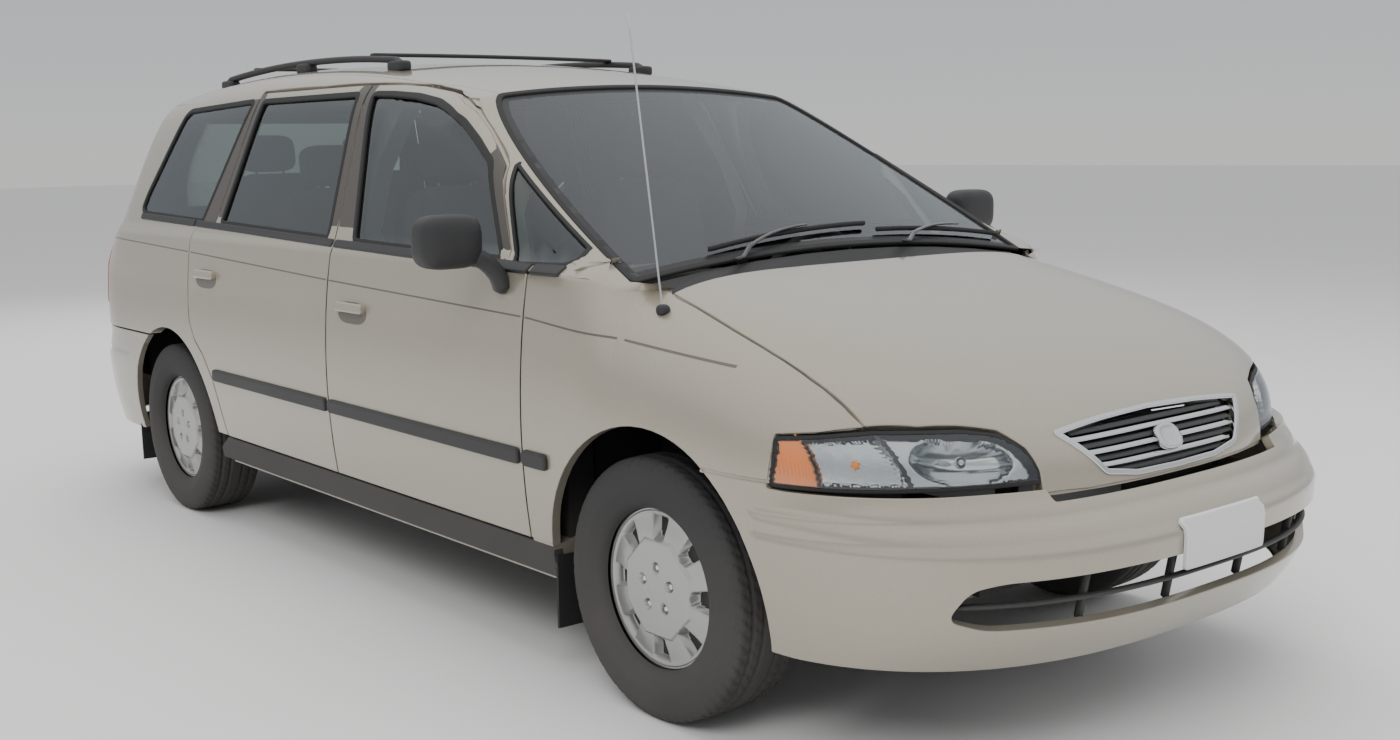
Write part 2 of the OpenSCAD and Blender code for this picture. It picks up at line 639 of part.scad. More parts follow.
underbody();
front_suspension();
rear_suspension();
engine();
fuel_tank();
exhaust();
body_side(true);  // body_side_left
on_side(-1) body_side(false);  // body_side_right
front_fenders();
roof();
cowl();
windscreen();
side_glass();
front_bumper();
rear_bumper();
headlamps();
tail_lamps();
roof_rack();
dashboard();
front_seats();
middle_seats();
rear_seat();
mud_flaps();
at_wheel(1, front_axle_y) upright();  // knuckle_left
at_wheel(-1, front_axle_y) upright();  // knuckle_right
at_wheel(1, front_axle_y) wheel();  // wheel_front_left
at_wheel(-1, front_axle_y) wheel();  // wheel_front_right
at_wheel(1, rear_axle_y) wheel();  // wheel_rear_left
at_wheel(-1, rear_axle_y) wheel();  // wheel_rear_right
at_wheel(1, front_axle_y) tyre();  // tyre_front_left
at_wheel(-1, front_axle_y) tyre();  // tyre_front_right
at_wheel(1, rear_axle_y) tyre();  // tyre_rear_left
at_wheel(-1, rear_axle_y) tyre();  // tyre_rear_right
steering_wheel();
front_door(1);  // front_door_left
front_door(-1);  // front_door_right
rear_door(1);  // rear_door_left
rear_door(-1);  // rear_door_right
front_glass(1);  // front_door_glass_left
front_glass(-1);  // front_door_glass_right
rear_glass(1);  // rear_door_glass_left
rear_glass(-1);  // rear_door_glass_right
mirror_unit(1);  // mirror_left
mirror_unit(-1);  // mirror_right
hood();
grille();
tailgate();
tailgate_glass();
fuel_door();
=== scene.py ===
import math
import bpy
import numpy as np
from mathutils import Vector, Matrix
from mathutils.geometry import delaunay_2d_cdt


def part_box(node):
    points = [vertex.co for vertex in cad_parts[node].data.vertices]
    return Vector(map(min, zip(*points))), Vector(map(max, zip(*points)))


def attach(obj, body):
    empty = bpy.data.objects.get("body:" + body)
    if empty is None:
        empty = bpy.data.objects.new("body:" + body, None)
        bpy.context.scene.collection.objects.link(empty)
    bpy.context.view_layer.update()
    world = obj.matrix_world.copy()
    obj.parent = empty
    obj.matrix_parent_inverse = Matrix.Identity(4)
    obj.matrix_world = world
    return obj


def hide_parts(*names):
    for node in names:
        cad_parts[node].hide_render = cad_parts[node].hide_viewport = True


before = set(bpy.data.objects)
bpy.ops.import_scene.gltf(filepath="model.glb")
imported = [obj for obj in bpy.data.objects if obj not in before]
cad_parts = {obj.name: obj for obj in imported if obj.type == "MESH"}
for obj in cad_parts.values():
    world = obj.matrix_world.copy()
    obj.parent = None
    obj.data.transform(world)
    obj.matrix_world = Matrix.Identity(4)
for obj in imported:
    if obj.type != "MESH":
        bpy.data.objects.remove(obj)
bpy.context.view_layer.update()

# ---------------------------------------------------------------- body surface (metres)


def sm(t):
    """Smooth step from 0 to 1."""
    t = np.clip(t, 0, 1)
    return t * t * (3 - 2 * t)


def rnd(t, p):
    """Rounded edge: 1 at t = 0, falling to 0 at t = 1 along a superellipse."""
    return np.maximum(1 - np.clip(t, 0, 1) ** p, 0) ** (1 / p)


def hood_mid(y):
    """Height of the hood along the middle of the car."""
    u = np.maximum(-1.33 - y, 0)
    return 0.55 + (0.48 - 0.22 * u) * rnd(u / 0.935, 3)


def sky_mid(y):
    """Height of the windscreen and roof along the middle of the car."""
    y = np.asarray(y, float)
    back = 1.632 - 0.095 * (np.maximum(y - 0.85, 0) / 1.2) ** 2
    front = 1.632 - 0.117 * (np.maximum(0.85 - y, 0) / 1.25) ** 2.2
    return np.where(y > -0.4, np.where(y > 0.85, back, front), 1.515 + 0.53 * (y + 0.4))


def crown(x):
    return 0.035 * (x / 0.6) ** 2


def nose_plan(y):
    return rnd((-1.7 - y) / 0.565, 2.3)


def tail_plan(y, z):
    e = np.maximum(z - 0.9, 0)
    u = np.clip((y - 1.8 + 0.42 * e) / (0.5 - 0.12 * e), 0, 1)
    p = 3.2 + 0.8 * sm((z - 1.0) / 0.4)
    return np.maximum(1 - u**p, 0) ** (1 / p)


def lower_w(z):
    return 0.885 - 0.038 * ((np.minimum(z, 1.1) - 0.66) / 0.4) ** 2


def upper_w(y, z):
    return (0.832 - 0.345 * (z - 1.06)) * (1 - 0.05 * (np.maximum(-0.2 - y, 0) / 0.93) ** 2)


def lower_top(y):
    return np.where(y < -1.33, hood_mid(y), 1.03 + 0.9 * sm((y + 1.33) / 0.36))


def lower_half(y, z):
    return lower_w(z) * nose_plan(y) * tail_plan(y, z) * rnd((z - 0.5) / np.maximum(lower_top(y) - 0.5, 1e-3), 5)


def upper_half(y, z):
    w = upper_w(y, z) * tail_plan(y, z)
    x, m = w, sky_mid(y)
    for _ in range(8):
        x = (x + w * rnd((z - 1.0) / np.maximum(m - crown(x) - 1.0, 1e-3), 14)) / 2
    return x


def half(y, z):
    """Half the width of the body at a length and height."""
    y, z = np.broadcast_arrays(np.asarray(y, float), np.asarray(z, float))
    k = np.where(y < -1.33, 0, sm((z - 1.02) / 0.05))
    return (1 - k) * lower_half(y, z) + k * upper_half(y, z)


def rim_x(y):
    """Half the width of the windscreen and roof, where they meet the pillars and rails."""
    y = np.asarray(y, float)
    a = 0.54 + 0.198 * rnd(1 - (-0.4 - y) / 0.87, 1.6)
    b = 0.54 + 0.055 * sm((y + 0.4) / 0.35)
    return np.where(y < -0.4, a, np.where(y < 1.4, b, 0.595 - 0.08 * ((y - 1.4) / 0.6) ** 2))


def side_top(y):
    return sky_mid(y) - crown(rim_x(y)) - 0.014


def sky_z(x, y):
    w = upper_w(y, side_top(y)) * tail_plan(y, side_top(y))
    return 1.0 + (sky_mid(y) - crown(x) - 1.0) * rnd(np.abs(x) / w, 14)


def bisect(test, low, high, n=30):
    """Largest t between low and high with test(t) true, element by element."""
    for _ in range(n):
        m = (low + high) / 2
        t = test(m)
        low, high = np.where(t, m, low), np.where(t, high, m)
    return low


def nose_at(x, z):
    x, z = np.broadcast_arrays(np.abs(x), z)
    return -bisect(lambda m: lower_half(-m, z) > x, np.full(x.shape, 1.4), np.full(x.shape, 2.265))


def tail_at(x, z):
    x, z = np.broadcast_arrays(np.abs(x), z)
    return bisect(lambda m: half(m, z) > x, np.full(x.shape, 1.2), np.full(x.shape, 2.305))


def gate_x(z):
    return 0.69 - 0.175 * (np.maximum(z - 1.04, 0) / 0.48) ** 1.2


def hood_yz(x, b):
    """Point of the hood at a width x, on a ray from under the cowl at the angle b from upright."""
    s = bisect(
        lambda m: (0.606 + 0.424 * m * np.cos(b) < hood_mid(-1.338 - 0.925 * m * np.sin(b)))
        & (lower_half(-1.338 - 0.925 * m * np.sin(b), 0.606 + 0.424 * m * np.cos(b)) > np.abs(x)),
        np.full(np.shape(x), 0.2), np.full(np.shape(x), 1.5))
    return -1.338 - 0.925 * s * np.sin(b), 0.606 + 0.424 * s * np.cos(b)


# ---------------------------------------------------------------- surfaces as (u, v) -> point, normal


def unit(a):
    return a / np.maximum(np.linalg.norm(a, axis=-1, keepdims=True), 1e-9)


def outward(p, n):
    """The normals, turned so that they point away from the middle of the car."""
    return n * (1 if ((p - [0, 0.1, 0.6]) * n).sum() > 0 else -1)


def smooth_fn(f, eps=1.5e-3):
    """Wraps f(u, v) -> points with its normals."""
    def fn(q):
        u, v = q[:, 0], q[:, 1]
        n = np.cross(f(u + eps, v) - f(u - eps, v), f(u, v + eps) - f(u, v - eps))
        p = f(u, v)
        return p, outward(p, unit(n))
    return fn


class Table:
    """A surface held as a dense grid of points over u and v."""

    def __init__(s, g, u, v):
        s.g, s.u, s.v = g, np.asarray(u), np.asarray(v)
        s.n = outward(g, unit(np.cross(np.gradient(g, axis=0), np.gradient(g, axis=1))))

    def __call__(s, q):
        i = np.clip(np.interp(q[:, 0], s.u, np.arange(len(s.u))), 0, len(s.u) - 1.001)
        j = np.clip(np.interp(q[:, 1], s.v, np.arange(len(s.v))), 0, len(s.v) - 1.001)
        a, b = i.astype(int), j.astype(int)
        fi, fj = (i - a)[:, None], (j - b)[:, None]
        out = []
        for t in (s.g, s.n):
            out.append((t[a, b] * (1 - fi) + t[a + 1, b] * fi) * (1 - fj)
                       + (t[a, b + 1] * (1 - fi) + t[a + 1, b + 1] * fi) * fj)
        return out[0], unit(out[1])


def length_table(lines, keys, v_max, nv):
    """Table whose second coordinate is the distance along each of the given lines."""
    v = np.linspace(0, v_max, nv)
    rows, total = [], []
    for p in lines:
        s = np.concatenate([[0], np.cumsum(np.linalg.norm(np.diff(p, axis=0), axis=1))])
        rows.append(np.stack([np.interp(v, s, p[:, k]) for k in range(3)], 1))
        total.append(s[-1])
    g = np.array(rows)
    t = Table(g, keys, v)
    t.total = np.array(total)
    return t


def v_where(table, u, axis, value, rising=True):
    """Second coordinate at which one of the point's coordinates has the given value."""
    i = int(np.clip(np.searchsorted(table.u, u), 1, len(table.u) - 1))
    f = (u - table.u[i - 1]) / (table.u[i] - table.u[i - 1])
    c = table.g[i - 1, :, axis] * (1 - f) + table.g[i, :, axis] * f
    end = int(min(len(table.v) - 1, np.searchsorted(table.v, min(table.total[i - 1], table.total[i]))))
    c, v = c[:end], table.v[:end]
    top = int(np.argmax(c))
    if rising:
        return float(np.interp(value, c[:top + 1], v[:top + 1]))
    return float(np.interp(-value, -c[top:], v[top:]))


side = smooth_fn(lambda y, z: np.stack([half(y, z), y, z], -1))


def fender_line(y):
    top = 0.5 + 0.985 * (float(hood_mid(y)) - 0.5) if y < -1.33 else min(1.036, max(0.998, float(side_top(y)) + 0.004))
    t = np.linspace(0, 1, 260)
    z = 0.28 + (top - 0.28) * (1 - (1 - t) ** 2.4)
    x = half(np.full_like(z, y), z)
    return np.stack([x, np.full_like(z, y), z], 1)


FY = np.concatenate([np.linspace(-2.12, -1.34, 130), np.linspace(-1.331, -0.955, 70)])
fender_tab = length_table([fender_line(y) for y in FY], FY, 1.02, 240)


def sky_line(y):
    r = float(rim_x(y))
    zr = float(sky_z(r, y))
    z0 = bisect(lambda m: half(np.full_like(m, y), m) > r, np.full(1, 1.03), np.full(1, zr + 0.02))[0]
    t = np.linspace(0, 1, 300)
    z = z0 - (z0 - 1.028) * t**2.6
    x = half(np.full_like(z, y), z)
    x[0] = r
    return np.stack([x, np.full_like(z, y), z], 1)


SY = np.linspace(-1.25, 1.93, 330)
sky_tab = length_table([sky_line(y) for y in SY], SY, 0.62, 260)


def quarter_line(z):
    ye = float(tail_at(0.45, z))
    t = np.linspace(0, 1, 300)
    y = 0.80 + (ye - 0.80) * (1 - (1 - t) ** 2.2)
    return np.stack([half(y, np.full_like(y, z)), y, np.full_like(y, z)], 1)


QZ = np.linspace(0.30, 1.56, 220)
quarter_tab = length_table([quarter_line(z) for z in QZ], QZ, 1.95, 420)
quarter = lambda q: quarter_tab(q[:, ::-1])


def quarter_u(y, z):
    return v_where(quarter_tab, z, 1, y)


def nose_line(z):
    y0 = float(nose_at(0.0, z))
    t = np.linspace(0, 1, 300)
    y = y0 + (-1.60 - y0) * t**2.2
    return np.stack([lower_half(y, np.full_like(y, z)), y, np.full_like(y, z)], 1)


NZ = np.linspace(0.585, 0.80, 70)
nose_tab = length_table([nose_line(z) for z in NZ], NZ, 1.35, 330)
nose = lambda q: nose_tab(q[:, ::-1])


def nose_u(x, z, y=None):
    i = int(np.clip(np.searchsorted(NZ, z), 1, len(NZ) - 1))
    g, v = nose_tab.g[i], nose_tab.v
    if y is not None:
        return float(np.interp(y, g[:, 1], v))
    return float(np.interp(x, g[:, 0], v))


HX = np.linspace(0, 0.75, 90)


def hood_line(x):
    b = np.linspace(0, math.pi / 2, 260)
    y, z = hood_yz(np.full_like(b, x), b)
    return np.stack([np.full_like(b, x), y, z], 1)


hood_half = length_table([hood_line(x) for x in HX], HX, 1.32, 300)
gx = np.concatenate([-HX[:0:-1], HX])
gg = np.concatenate([hood_half.g[:0:-1] * [-1, 1, 1], hood_half.g])
hood_tab = Table(gg, gx, hood_half.v)
hood_tab.total = np.concatenate([hood_half.total[:0:-1], hood_half.total])


def bulge(z):
    """How far the bumper stands out at a height, from 0 to 1."""
    return np.where(z > 0.48, sm((0.642 - z) / 0.135), 1 - (np.maximum(0.48 - z, 0) / 0.26) ** 2.5)


def bumper_table(y_side, y_tip, p, grooves):
    """Bumper surface over height and distance round it from the middle."""
    zs, lines = np.linspace(0.25, 0.665, 167), []
    for z in zs:
        a = np.radians(np.concatenate([np.linspace(0, 20, 80), np.linspace(20.5, 70, 60), np.linspace(70.5, 90, 60)]))
        b = float(bulge(z))
        w = float(lower_w(z)) + 0.003 * b
        tip = y_tip + (2.38 - abs(y_tip)) * math.copysign(1, y_tip) * b
        x = w * np.cos(a) ** (2 / p)
        y = y_side + (tip - y_side) * np.sin(a) ** (2 / p)
        q = np.stack([x, y, np.full_like(x, z)], 1)[::-1]
        lines.append(np.vstack([q, [w, y_side - 0.16 * math.copysign(1, y_tip), z]]))
    t = length_table(lines, zs, 1.75, 350)
    dz = sum(np.exp(-((t.g[..., 2] - g) / 0.0065) ** 2) for g in grooves)
    t.g = t.g - t.n * (0.006 * dz * sm((np.abs(t.g[..., 1]) - abs(y_side) - 0.13) / 0.02))[..., None]
    full = Table(np.concatenate([t.g[:, :0:-1] * [-1, 1, 1], t.g], 1), zs, np.concatenate([-t.v[:0:-1], t.v]))
    full.half = t
    return full


# ---------------------------------------------------------------- mesh helpers


def put(name, verts, faces, mats, body, normals=None, index=None, slot=None, replaces=(), flip=False):
    """Makes one piece from a mesh, riding on a CAD body; flip mirrors it to the right side."""
    verts = np.asarray(verts, float)
    faces = [tuple(int(i) for i in f) for f in faces]
    if flip:
        verts = verts * [-1, 1, 1]
        faces = [f[::-1] for f in faces]
        normals = None if normals is None else normals * [-1, 1, 1]
    me = bpy.data.meshes.new(name)
    me.from_pydata(verts.tolist(), [], faces)
    for m in mats if isinstance(mats, (list, tuple)) else [mats]:
        me.materials.append(m)
    if index is not None:
        me.polygons.foreach_set("material_index", np.asarray(index, np.int32))
    me.polygons.foreach_set("use_smooth", np.ones(len(me.polygons), bool))
    me.update()
    if normals is not None:
        me.normals_split_custom_set_from_vertices(np.asarray(normals, float).tolist())
    ob = bpy.data.objects.new(name, me)
    bpy.context.scene.collection.objects.link(ob)
    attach(ob, body)
    if replaces:
        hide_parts(*replaces)
    return ob


def single(name, data, mats, body, **k):
    """A piece in the middle of the car, from (verts, faces, normals)."""
    v, f, n = data
    return put(name, v, f, mats, body, n, **k)


def both(name, data, mats, bodies, replaces=(), **k):
    """The same piece on the left and, mirrored, on the right. A star in names stands for the side."""
    v, f, n = data
    for s, flip in (("left", False), ("right", True)):
        put(f"{name}_{s}", v, f, mats, bodies.replace("*", s), n, flip=flip,
            replaces=[r.replace("*", s) for r in replaces], **k)


def resample(poly, step):
    """The outline with its edges cut into lengths of at most step."""
    out = []
    poly = np.asarray(poly, float)
    for a, b in zip(poly, np.roll(poly, -1, 0)):
        n = max(1, int(math.ceil(np.linalg.norm(b - a) / step)))
        out.extend(a + (b - a) * k / n for k in range(n))
    return np.array(out)


def curved(poly, cut, n=6):
    """Rounds the corners of an outline; cut is the length taken off each edge, one for all or one each."""
    poly = np.asarray(poly, float)
    cuts = [cut] * len(poly) if np.isscalar(cut) else cut
    out = []
    for i, p in enumerate(poly):
        a, b = poly[i - 1], poly[(i + 1) % len(poly)]
        la, lb = np.linalg.norm(a - p), np.linalg.norm(b - p)
        t = min(cuts[i], 0.49 * la, 0.49 * lb)
        if t < 1e-5:
            out.append(p)
            continue
        q, r = p + (a - p) / la * t, p + (b - p) / lb * t
        out.extend((1 - s) ** 2 * q + 2 * s * (1 - s) * p + s * s * r for s in np.linspace(0, 1, n + 1))
    return np.array(out)


def inside(p, poly):
    """Which of the points are inside the outline."""
    x, y = p[:, 0], p[:, 1]
    c = np.zeros(len(p), bool)
    for (x0, y0), (x1, y1) in zip(poly, np.roll(poly, -1, 0)):
        if y0 != y1:
            c ^= ((y0 > y) != (y1 > y)) & (x < (x1 - x0) * (y - y0) / (y1 - y0) + x0)
    return c


def shrink(poly, d):
    """The outline moved d to the left of its own direction."""
    a, b = unit(poly - np.roll(poly, 1, 0)), unit(np.roll(poly, -1, 0) - poly)
    na, nb = np.stack([-a[:, 1], a[:, 0]], 1), np.stack([-b[:, 1], b[:, 0]], 1)
    n = unit(na + nb)
    return poly + n * (d / np.maximum((n * na).sum(1), 0.6))[:, None]


def area2(p):
    """Twice the area of the outline, positive where it runs anticlockwise."""
    q = np.roll(p, -1, 0)
    return float((p[:, 0] * q[:, 1] - q[:, 0] * p[:, 1]).sum())


def inset(poly, d):
    """The outline moved d inwards, or outwards where d is negative."""
    return shrink(poly, d if area2(poly) > 0 else -d)


def panel(fn, outer, holes=(), step=0.022, edge=0.012, hem=0.003, depth=0.014, lift=0.0, opened=None):
    """Verts, faces and normals of a pressed panel: a surface cut to an outline, with rolled hems.

    step and edge are the lengths of triangles inside and along the outline, hem is the radius of the
    rolled edge, depth how far the edge goes in, lift how far the panel lies below its surface, and
    opened picks the outline points that stay without a hem.
    """
    loops = []
    for i, lp in enumerate([outer, *holes]):
        lp = resample(lp, edge)
        loops.append(lp[::-1] if (area2(lp) < 0) == (i == 0) else lp)
    rings = [shrink(lp, hem) for lp in loops]
    lo, hi = rings[0].min(0), rings[0].max(0)
    gx_, gy_ = np.meshgrid(np.arange(lo[0], hi[0], step), np.arange(lo[1], hi[1], step * 0.866), indexing="ij")
    gx_ = gx_ + (np.arange(gx_.shape[1]) % 2)[None, :] * step / 2
    grid = np.stack([gx_.ravel(), gy_.ravel()], 1)
    ok = inside(grid, rings[0])
    for h in rings[1:]:
        ok &= ~inside(grid, h)
    grid = grid[ok]
    near = np.full(len(grid), 1e9)
    for r in rings:
        q = np.roll(r, -1, 0)
        for a, b in zip(r, q):
            ab = b - a
            t = np.clip(((grid - a) @ ab) / max(ab @ ab, 1e-12), 0, 1)
            near = np.minimum(near, ((grid - a - t[:, None] * ab) ** 2).sum(1))
    grid = grid[near > (0.35 * edge) ** 2]
    pts = np.vstack(rings + [grid])
    edges, at, k = [], [], 0
    for r in rings:
        edges += [(k + i, k + (i + 1) % len(r)) for i in range(len(r))]
        at.append(k)
        k += len(r)
    vv, _, ff, origin, _, _ = delaunay_2d_cdt([Vector(p) for p in pts], edges, [], 0, 1e-8)
    new = {}
    for i, src in enumerate(origin):
        for s in src:
            new[s] = i
    uv = np.array([tuple(v) for v in vv])
    tri = np.array([f for f in ff if len(f) == 3])
    c = uv[tri].mean(1)
    ok = inside(c, rings[0])
    for h in rings[1:]:
        ok &= ~inside(c, h)
    tri = tri[ok]
    p, n = fn(uv)
    verts, norms, faces = [p - n * lift], [n], [tuple(t) for t in tri]
    count = len(uv)
    a0 = tri[:40]
    turn = np.cross(p[a0[:, 1]] - p[a0[:, 0]], p[a0[:, 2]] - p[a0[:, 0]])
    wrong_way = np.einsum("ij,ij->i", turn, n[a0[:, 0]]).sum() < 0
    if hem > 0:
        for lp, r, k0 in zip(loops, rings, at):
            prev = [new[k0 + i] for i in range(len(lp))]
            pe, ne = fn(lp)
            pr, _ = fn(r)
            m = pe - pr
            m = unit(m - ne * (m * ne).sum(1, keepdims=True))
            free = np.zeros(len(lp), bool) if opened is None else opened(lp)
            for ang, dep in ((30, None), (60, None), (90, None), (90, depth)):
                a = math.radians(ang)
                q = shrink(lp, hem * (1 - math.sin(a)))
                q[free] = lp[free]
                pq, nq = fn(q)
                d = np.full(len(lp), hem * (1 - math.cos(a)) if dep is None else dep)
                d[free] = 0
                nn = nq * math.cos(a) + m * math.sin(a)
                nn[free] = nq[free]
                verts.append(pq - nq * (lift + d[:, None]))
                norms.append(unit(nn))
                ids = list(range(count, count + len(lp)))
                count += len(lp)
                for i in range(len(lp)):
                    j = (i + 1) % len(lp)
                    faces.append((prev[i], ids[i], ids[j], prev[j]))
                prev = ids
    if wrong_way:
        faces = [f[::-1] for f in faces]
    return np.vstack(verts), faces, np.vstack(norms)


def ring(fn, outline, out, into, *sizes):
    """Panel between an outline moved outwards and the same outline moved inwards."""
    return panel(fn, inset(outline, -out), [inset(outline, into)], *sizes)


def grid_faces(rows, cols, close_c=False):
    """Faces of a grid of points, closed round its rows where close_c is true."""
    out = []
    for i in range(rows - 1):
        for j in range(cols if close_c else cols - 1):
            k = (j + 1) % cols
            out.append((i * cols + j, i * cols + k, (i + 1) * cols + k, (i + 1) * cols + j))
    return out


# ---------------------------------------------------------------- materials


def node(t, kind, values=(), links=(), **settings):
    """A new shader node with its settings, the values of its inputs, and links into them."""
    n = t.nodes.new("ShaderNode" + kind)
    for k, v in settings.items():
        setattr(n, k, v)
    for k, v in dict(values).items():
        n.inputs[k].default_value = v
    for k, v in dict(links).items():
        t.links.new(v, n.inputs[k])
    return n.outputs


def material(name, colour, rough, metallic=0.0, coat=0.0, spread=0.06, grain=180.0, bump=0.05, dirt=0.0,
             flake=0.0, inner=None, axis=None, emission=None):
    """A painted, moulded or cast finish: colour varies, roughness is uneven, and the surface has grain.

    dirt darkens it towards the ground, flake speckles it, and inner is the colour of the faces that
    look into the car along the axis.
    """
    m = bpy.data.materials.new(name)
    m.use_nodes = True
    t = m.node_tree
    b = t.nodes["Principled BSDF"]
    coord = node(t, "TexCoord")
    place = {"Vector": coord["Object"]}
    cloud = node(t, "TexNoise", {"Scale": 2.3, "Detail": 6}, place)["Fac"]
    fine = node(t, "TexNoise", {"Scale": grain, "Detail": 3}, place)["Fac"]

    def scaled(values, links, source, low, high, **edges):
        """Colour times a number that runs from low to high."""
        k = node(t, "MapRange", {"To Min": low, "To Max": high, **edges}, {"Value": source})["Result"]
        return node(t, "VectorMath", values, {**links, "Scale": k}, operation="SCALE")["Vector"]

    def mixed(base, factor, second):
        return node(t, "Mix", {"B": (*second, 1)}, {"Factor": factor, "A": base}, data_type="RGBA")["Result"]

    last = scaled({0: colour}, {}, cloud, 1 - spread, 1 + spread)
    if flake:
        speck = node(t, "TexNoise", {"Scale": 900}, place)["Fac"]
        last = scaled({}, {0: last}, speck, 1 - flake, 1 + flake, **{"From Min": 0.35, "From Max": 0.65})
    if dirt:
        height = node(t, "SeparateXYZ", (), {"Vector": coord["Object"]})["Z"]
        low = node(t, "MapRange", {"From Min": 0.20, "From Max": 0.62, "To Min": dirt, "To Max": 0.0},
                   {"Value": height})["Result"]
        amount = node(t, "Math", (), {0: low, 1: cloud}, operation="MULTIPLY")[0]
        last = mixed(last, amount, DUST)
    if inner:
        facing = node(t, "SeparateXYZ", (), {"Vector": coord["Normal"]})[axis]
        if axis == "X":
            x = node(t, "SeparateXYZ", (), {"Vector": coord["Object"]})["X"]
            sign = node(t, "Math", (), {0: x}, operation="SIGN")[0]
            facing = node(t, "Math", (), {0: sign, 1: facing}, operation="MULTIPLY")[0]
        inwards = node(t, "Math", {1: -0.25}, {0: facing}, operation="LESS_THAN")[0]
        last = mixed(last, inwards, inner)
    t.links.new(last, b.inputs["Base Color"])
    uneven = node(t, "MapRange", {"To Min": max(rough - 0.07, 0.02), "To Max": min(rough + 0.09, 1)},
                  {"Value": cloud})["Result"]
    t.links.new(uneven, b.inputs["Roughness"])
    b.inputs["Metallic"].default_value = metallic
    b.inputs["Coat Weight"].default_value = coat
    b.inputs["Coat Roughness"].default_value = 0.04
    # emission gives the part a faint painted glow, as if lit from within, though no lamp lights it
    if emission:
        b.inputs["Emission Color"].default_value = (*emission, 1)
        b.inputs["Emission Strength"].default_value = 0.25
    if bump:
        rough_normal = node(t, "Bump", {"Strength": bump, "Distance": 0.0008}, {"Height": fine})["Normal"]
        t.links.new(rough_normal, b.inputs["Normal"])
    return m


def thin_glass(name, tint, gloss=0.06, flutes=0.0):
    """Sheet glass: mostly see-through, with a mirror reflection that grows at a grazing angle."""
    m = bpy.data.materials.new(name)
    m.use_nodes = True
    t = m.node_tree
    t.nodes.clear()
    coord = node(t, "TexCoord")["Object"]
    film = node(t, "TexNoise", {"Scale": 5}, {"Vector": coord})["Fac"]
    vary = node(t, "MapRange", {"To Min": 0.93, "To Max": 1.04}, {"Value": film})["Result"]
    tinted = node(t, "VectorMath", {0: tint}, {"Scale": vary}, operation="SCALE")["Vector"]
    clear = node(t, "BsdfTransparent", (), {"Color": tinted})[0]
    bent = {}
    if flutes:
        wave = node(t, "TexWave", {"Scale": 90}, {"Vector": coord}, bands_direction="X")["Fac"]
        bent["Normal"] = node(t, "Bump", {"Strength": flutes, "Distance": 0.002}, {"Height": wave})["Normal"]
    shine = node(t, "BsdfGlossy", {"Roughness": 0.03, "Color": (0.9, 0.95, 1, 1)}, bent)[0]
    grazing = node(t, "Fresnel", {"IOR": 1.5})["Fac"]
    share = node(t, "Math", {1: gloss}, {0: grazing})[0]
    mix = node(t, "MixShader", (), {"Fac": share, 1: clear, 2: shine})[0]
    node(t, "OutputMaterial", (), {"Surface": mix})
    return m


PAINT = (0.39, 0.352, 0.285)
DUST = (0.16, 0.14, 0.115)
HEADLINER = (0.36, 0.33, 0.28)
TRIM = (0.075, 0.066, 0.058)
paint = material("champagne_paint", PAINT, 0.34, 0.62, 1.0, 0.035, 400, 0.012, 0.10, 0.10)
shell_paint = material("shell_paint", PAINT, 0.36, 0.6, 0.8, 0.05, 300, 0.02, 0.3, inner=TRIM, axis="X")
roof_paint = material("roof_shell_paint", PAINT, 0.36, 0.6, 0.8, 0.05, 300, 0.02, inner=HEADLINER, axis="Z")
gate_paint = material("gate_shell_paint", PAINT, 0.36, 0.6, 0.8, 0.05, 300, 0.02, inner=TRIM, axis="Y")
pillar_dark = material("pillar_film", (0.052, 0.045, 0.039), 0.42, 0, 0.1, 0.12, 260, 0.08)
black = material("black_plastic", (0.022, 0.022, 0.023), 0.5, 0, 0, 0.16, 420, 0.25, 0.25)
gloss_black = material("gloss_black", (0.012, 0.012, 0.013), 0.16, 0, 0.6, 0.1, 300, 0.02)
border_black = material("screen_border", (0.010, 0.010, 0.011), 0.38, 0, 0, 0.1, 300, 0.02)
rubber = material("seal_rubber", (0.015, 0.015, 0.015), 0.66, 0, 0, 0.2, 300, 0.3)
sill_black = material("sill_coating", (0.02, 0.02, 0.021), 0.62, 0, 0, 0.2, 700, 0.5, 0.4)
chrome = material("chrome", (0.72, 0.73, 0.74), 0.09, 1, 0, 0.03, 200, 0.01)
lamp_mirror = material("lamp_reflector", (0.80, 0.81, 0.82), 0.14, 1, 0, 0.05, 60, 0.05)
satin = material("cover_silver", (0.46, 0.46, 0.45), 0.36, 0.75, 0.3, 0.08, 220, 0.06, 0.35)
steel = material("rim_steel", (0.05, 0.05, 0.05), 0.5, 0.6, 0, 0.2, 200, 0.2, 0.3)
tyre_rubber = material("tyre_rubber", (0.026, 0.026, 0.027), 0.78, 0, 0, 0.22, 260, 0.45, 0.35)
chassis = material("chassis_paint", (0.022, 0.022, 0.023), 0.6, 0.2, 0, 0.35, 90, 0.6, 0.5)
iron = material("cast_iron", (0.10, 0.085, 0.072), 0.66, 0.7, 0, 0.35, 160, 0.8, 0.4)
exhaust_steel = material("exhaust_steel", (0.24, 0.215, 0.19), 0.45, 0.85, 0, 0.3, 110, 0.4, 0.3)
engine_grey = material("engine_alloy", (0.16, 0.16, 0.16), 0.5, 0.7, 0, 0.25, 130, 0.7)
plastic = material("interior_plastic", TRIM, 0.6, 0, 0, 0.1, 650, 0.5)
cloth = material("seat_cloth", (0.115, 0.10, 0.088), 0.92, 0, 0, 0.18, 900, 1.0)
# amber is the lenses' own colour; the emission on top of it is a painted glow
amber = material("amber_lens", (0.75, 0.20, 0.02), 0.12, 0, 0.8, 0.1, 60, 0.05, emission=(0.9, 0.3, 0.05))
red = material("red_lens", (0.36, 0.012, 0.012), 0.12, 0, 0.9, 0.12, 60, 0.05)
plate_white = material("blank_plate", (0.62, 0.63, 0.62), 0.4, 0.1, 0.2, 0.05, 120, 0.06, 0.2)
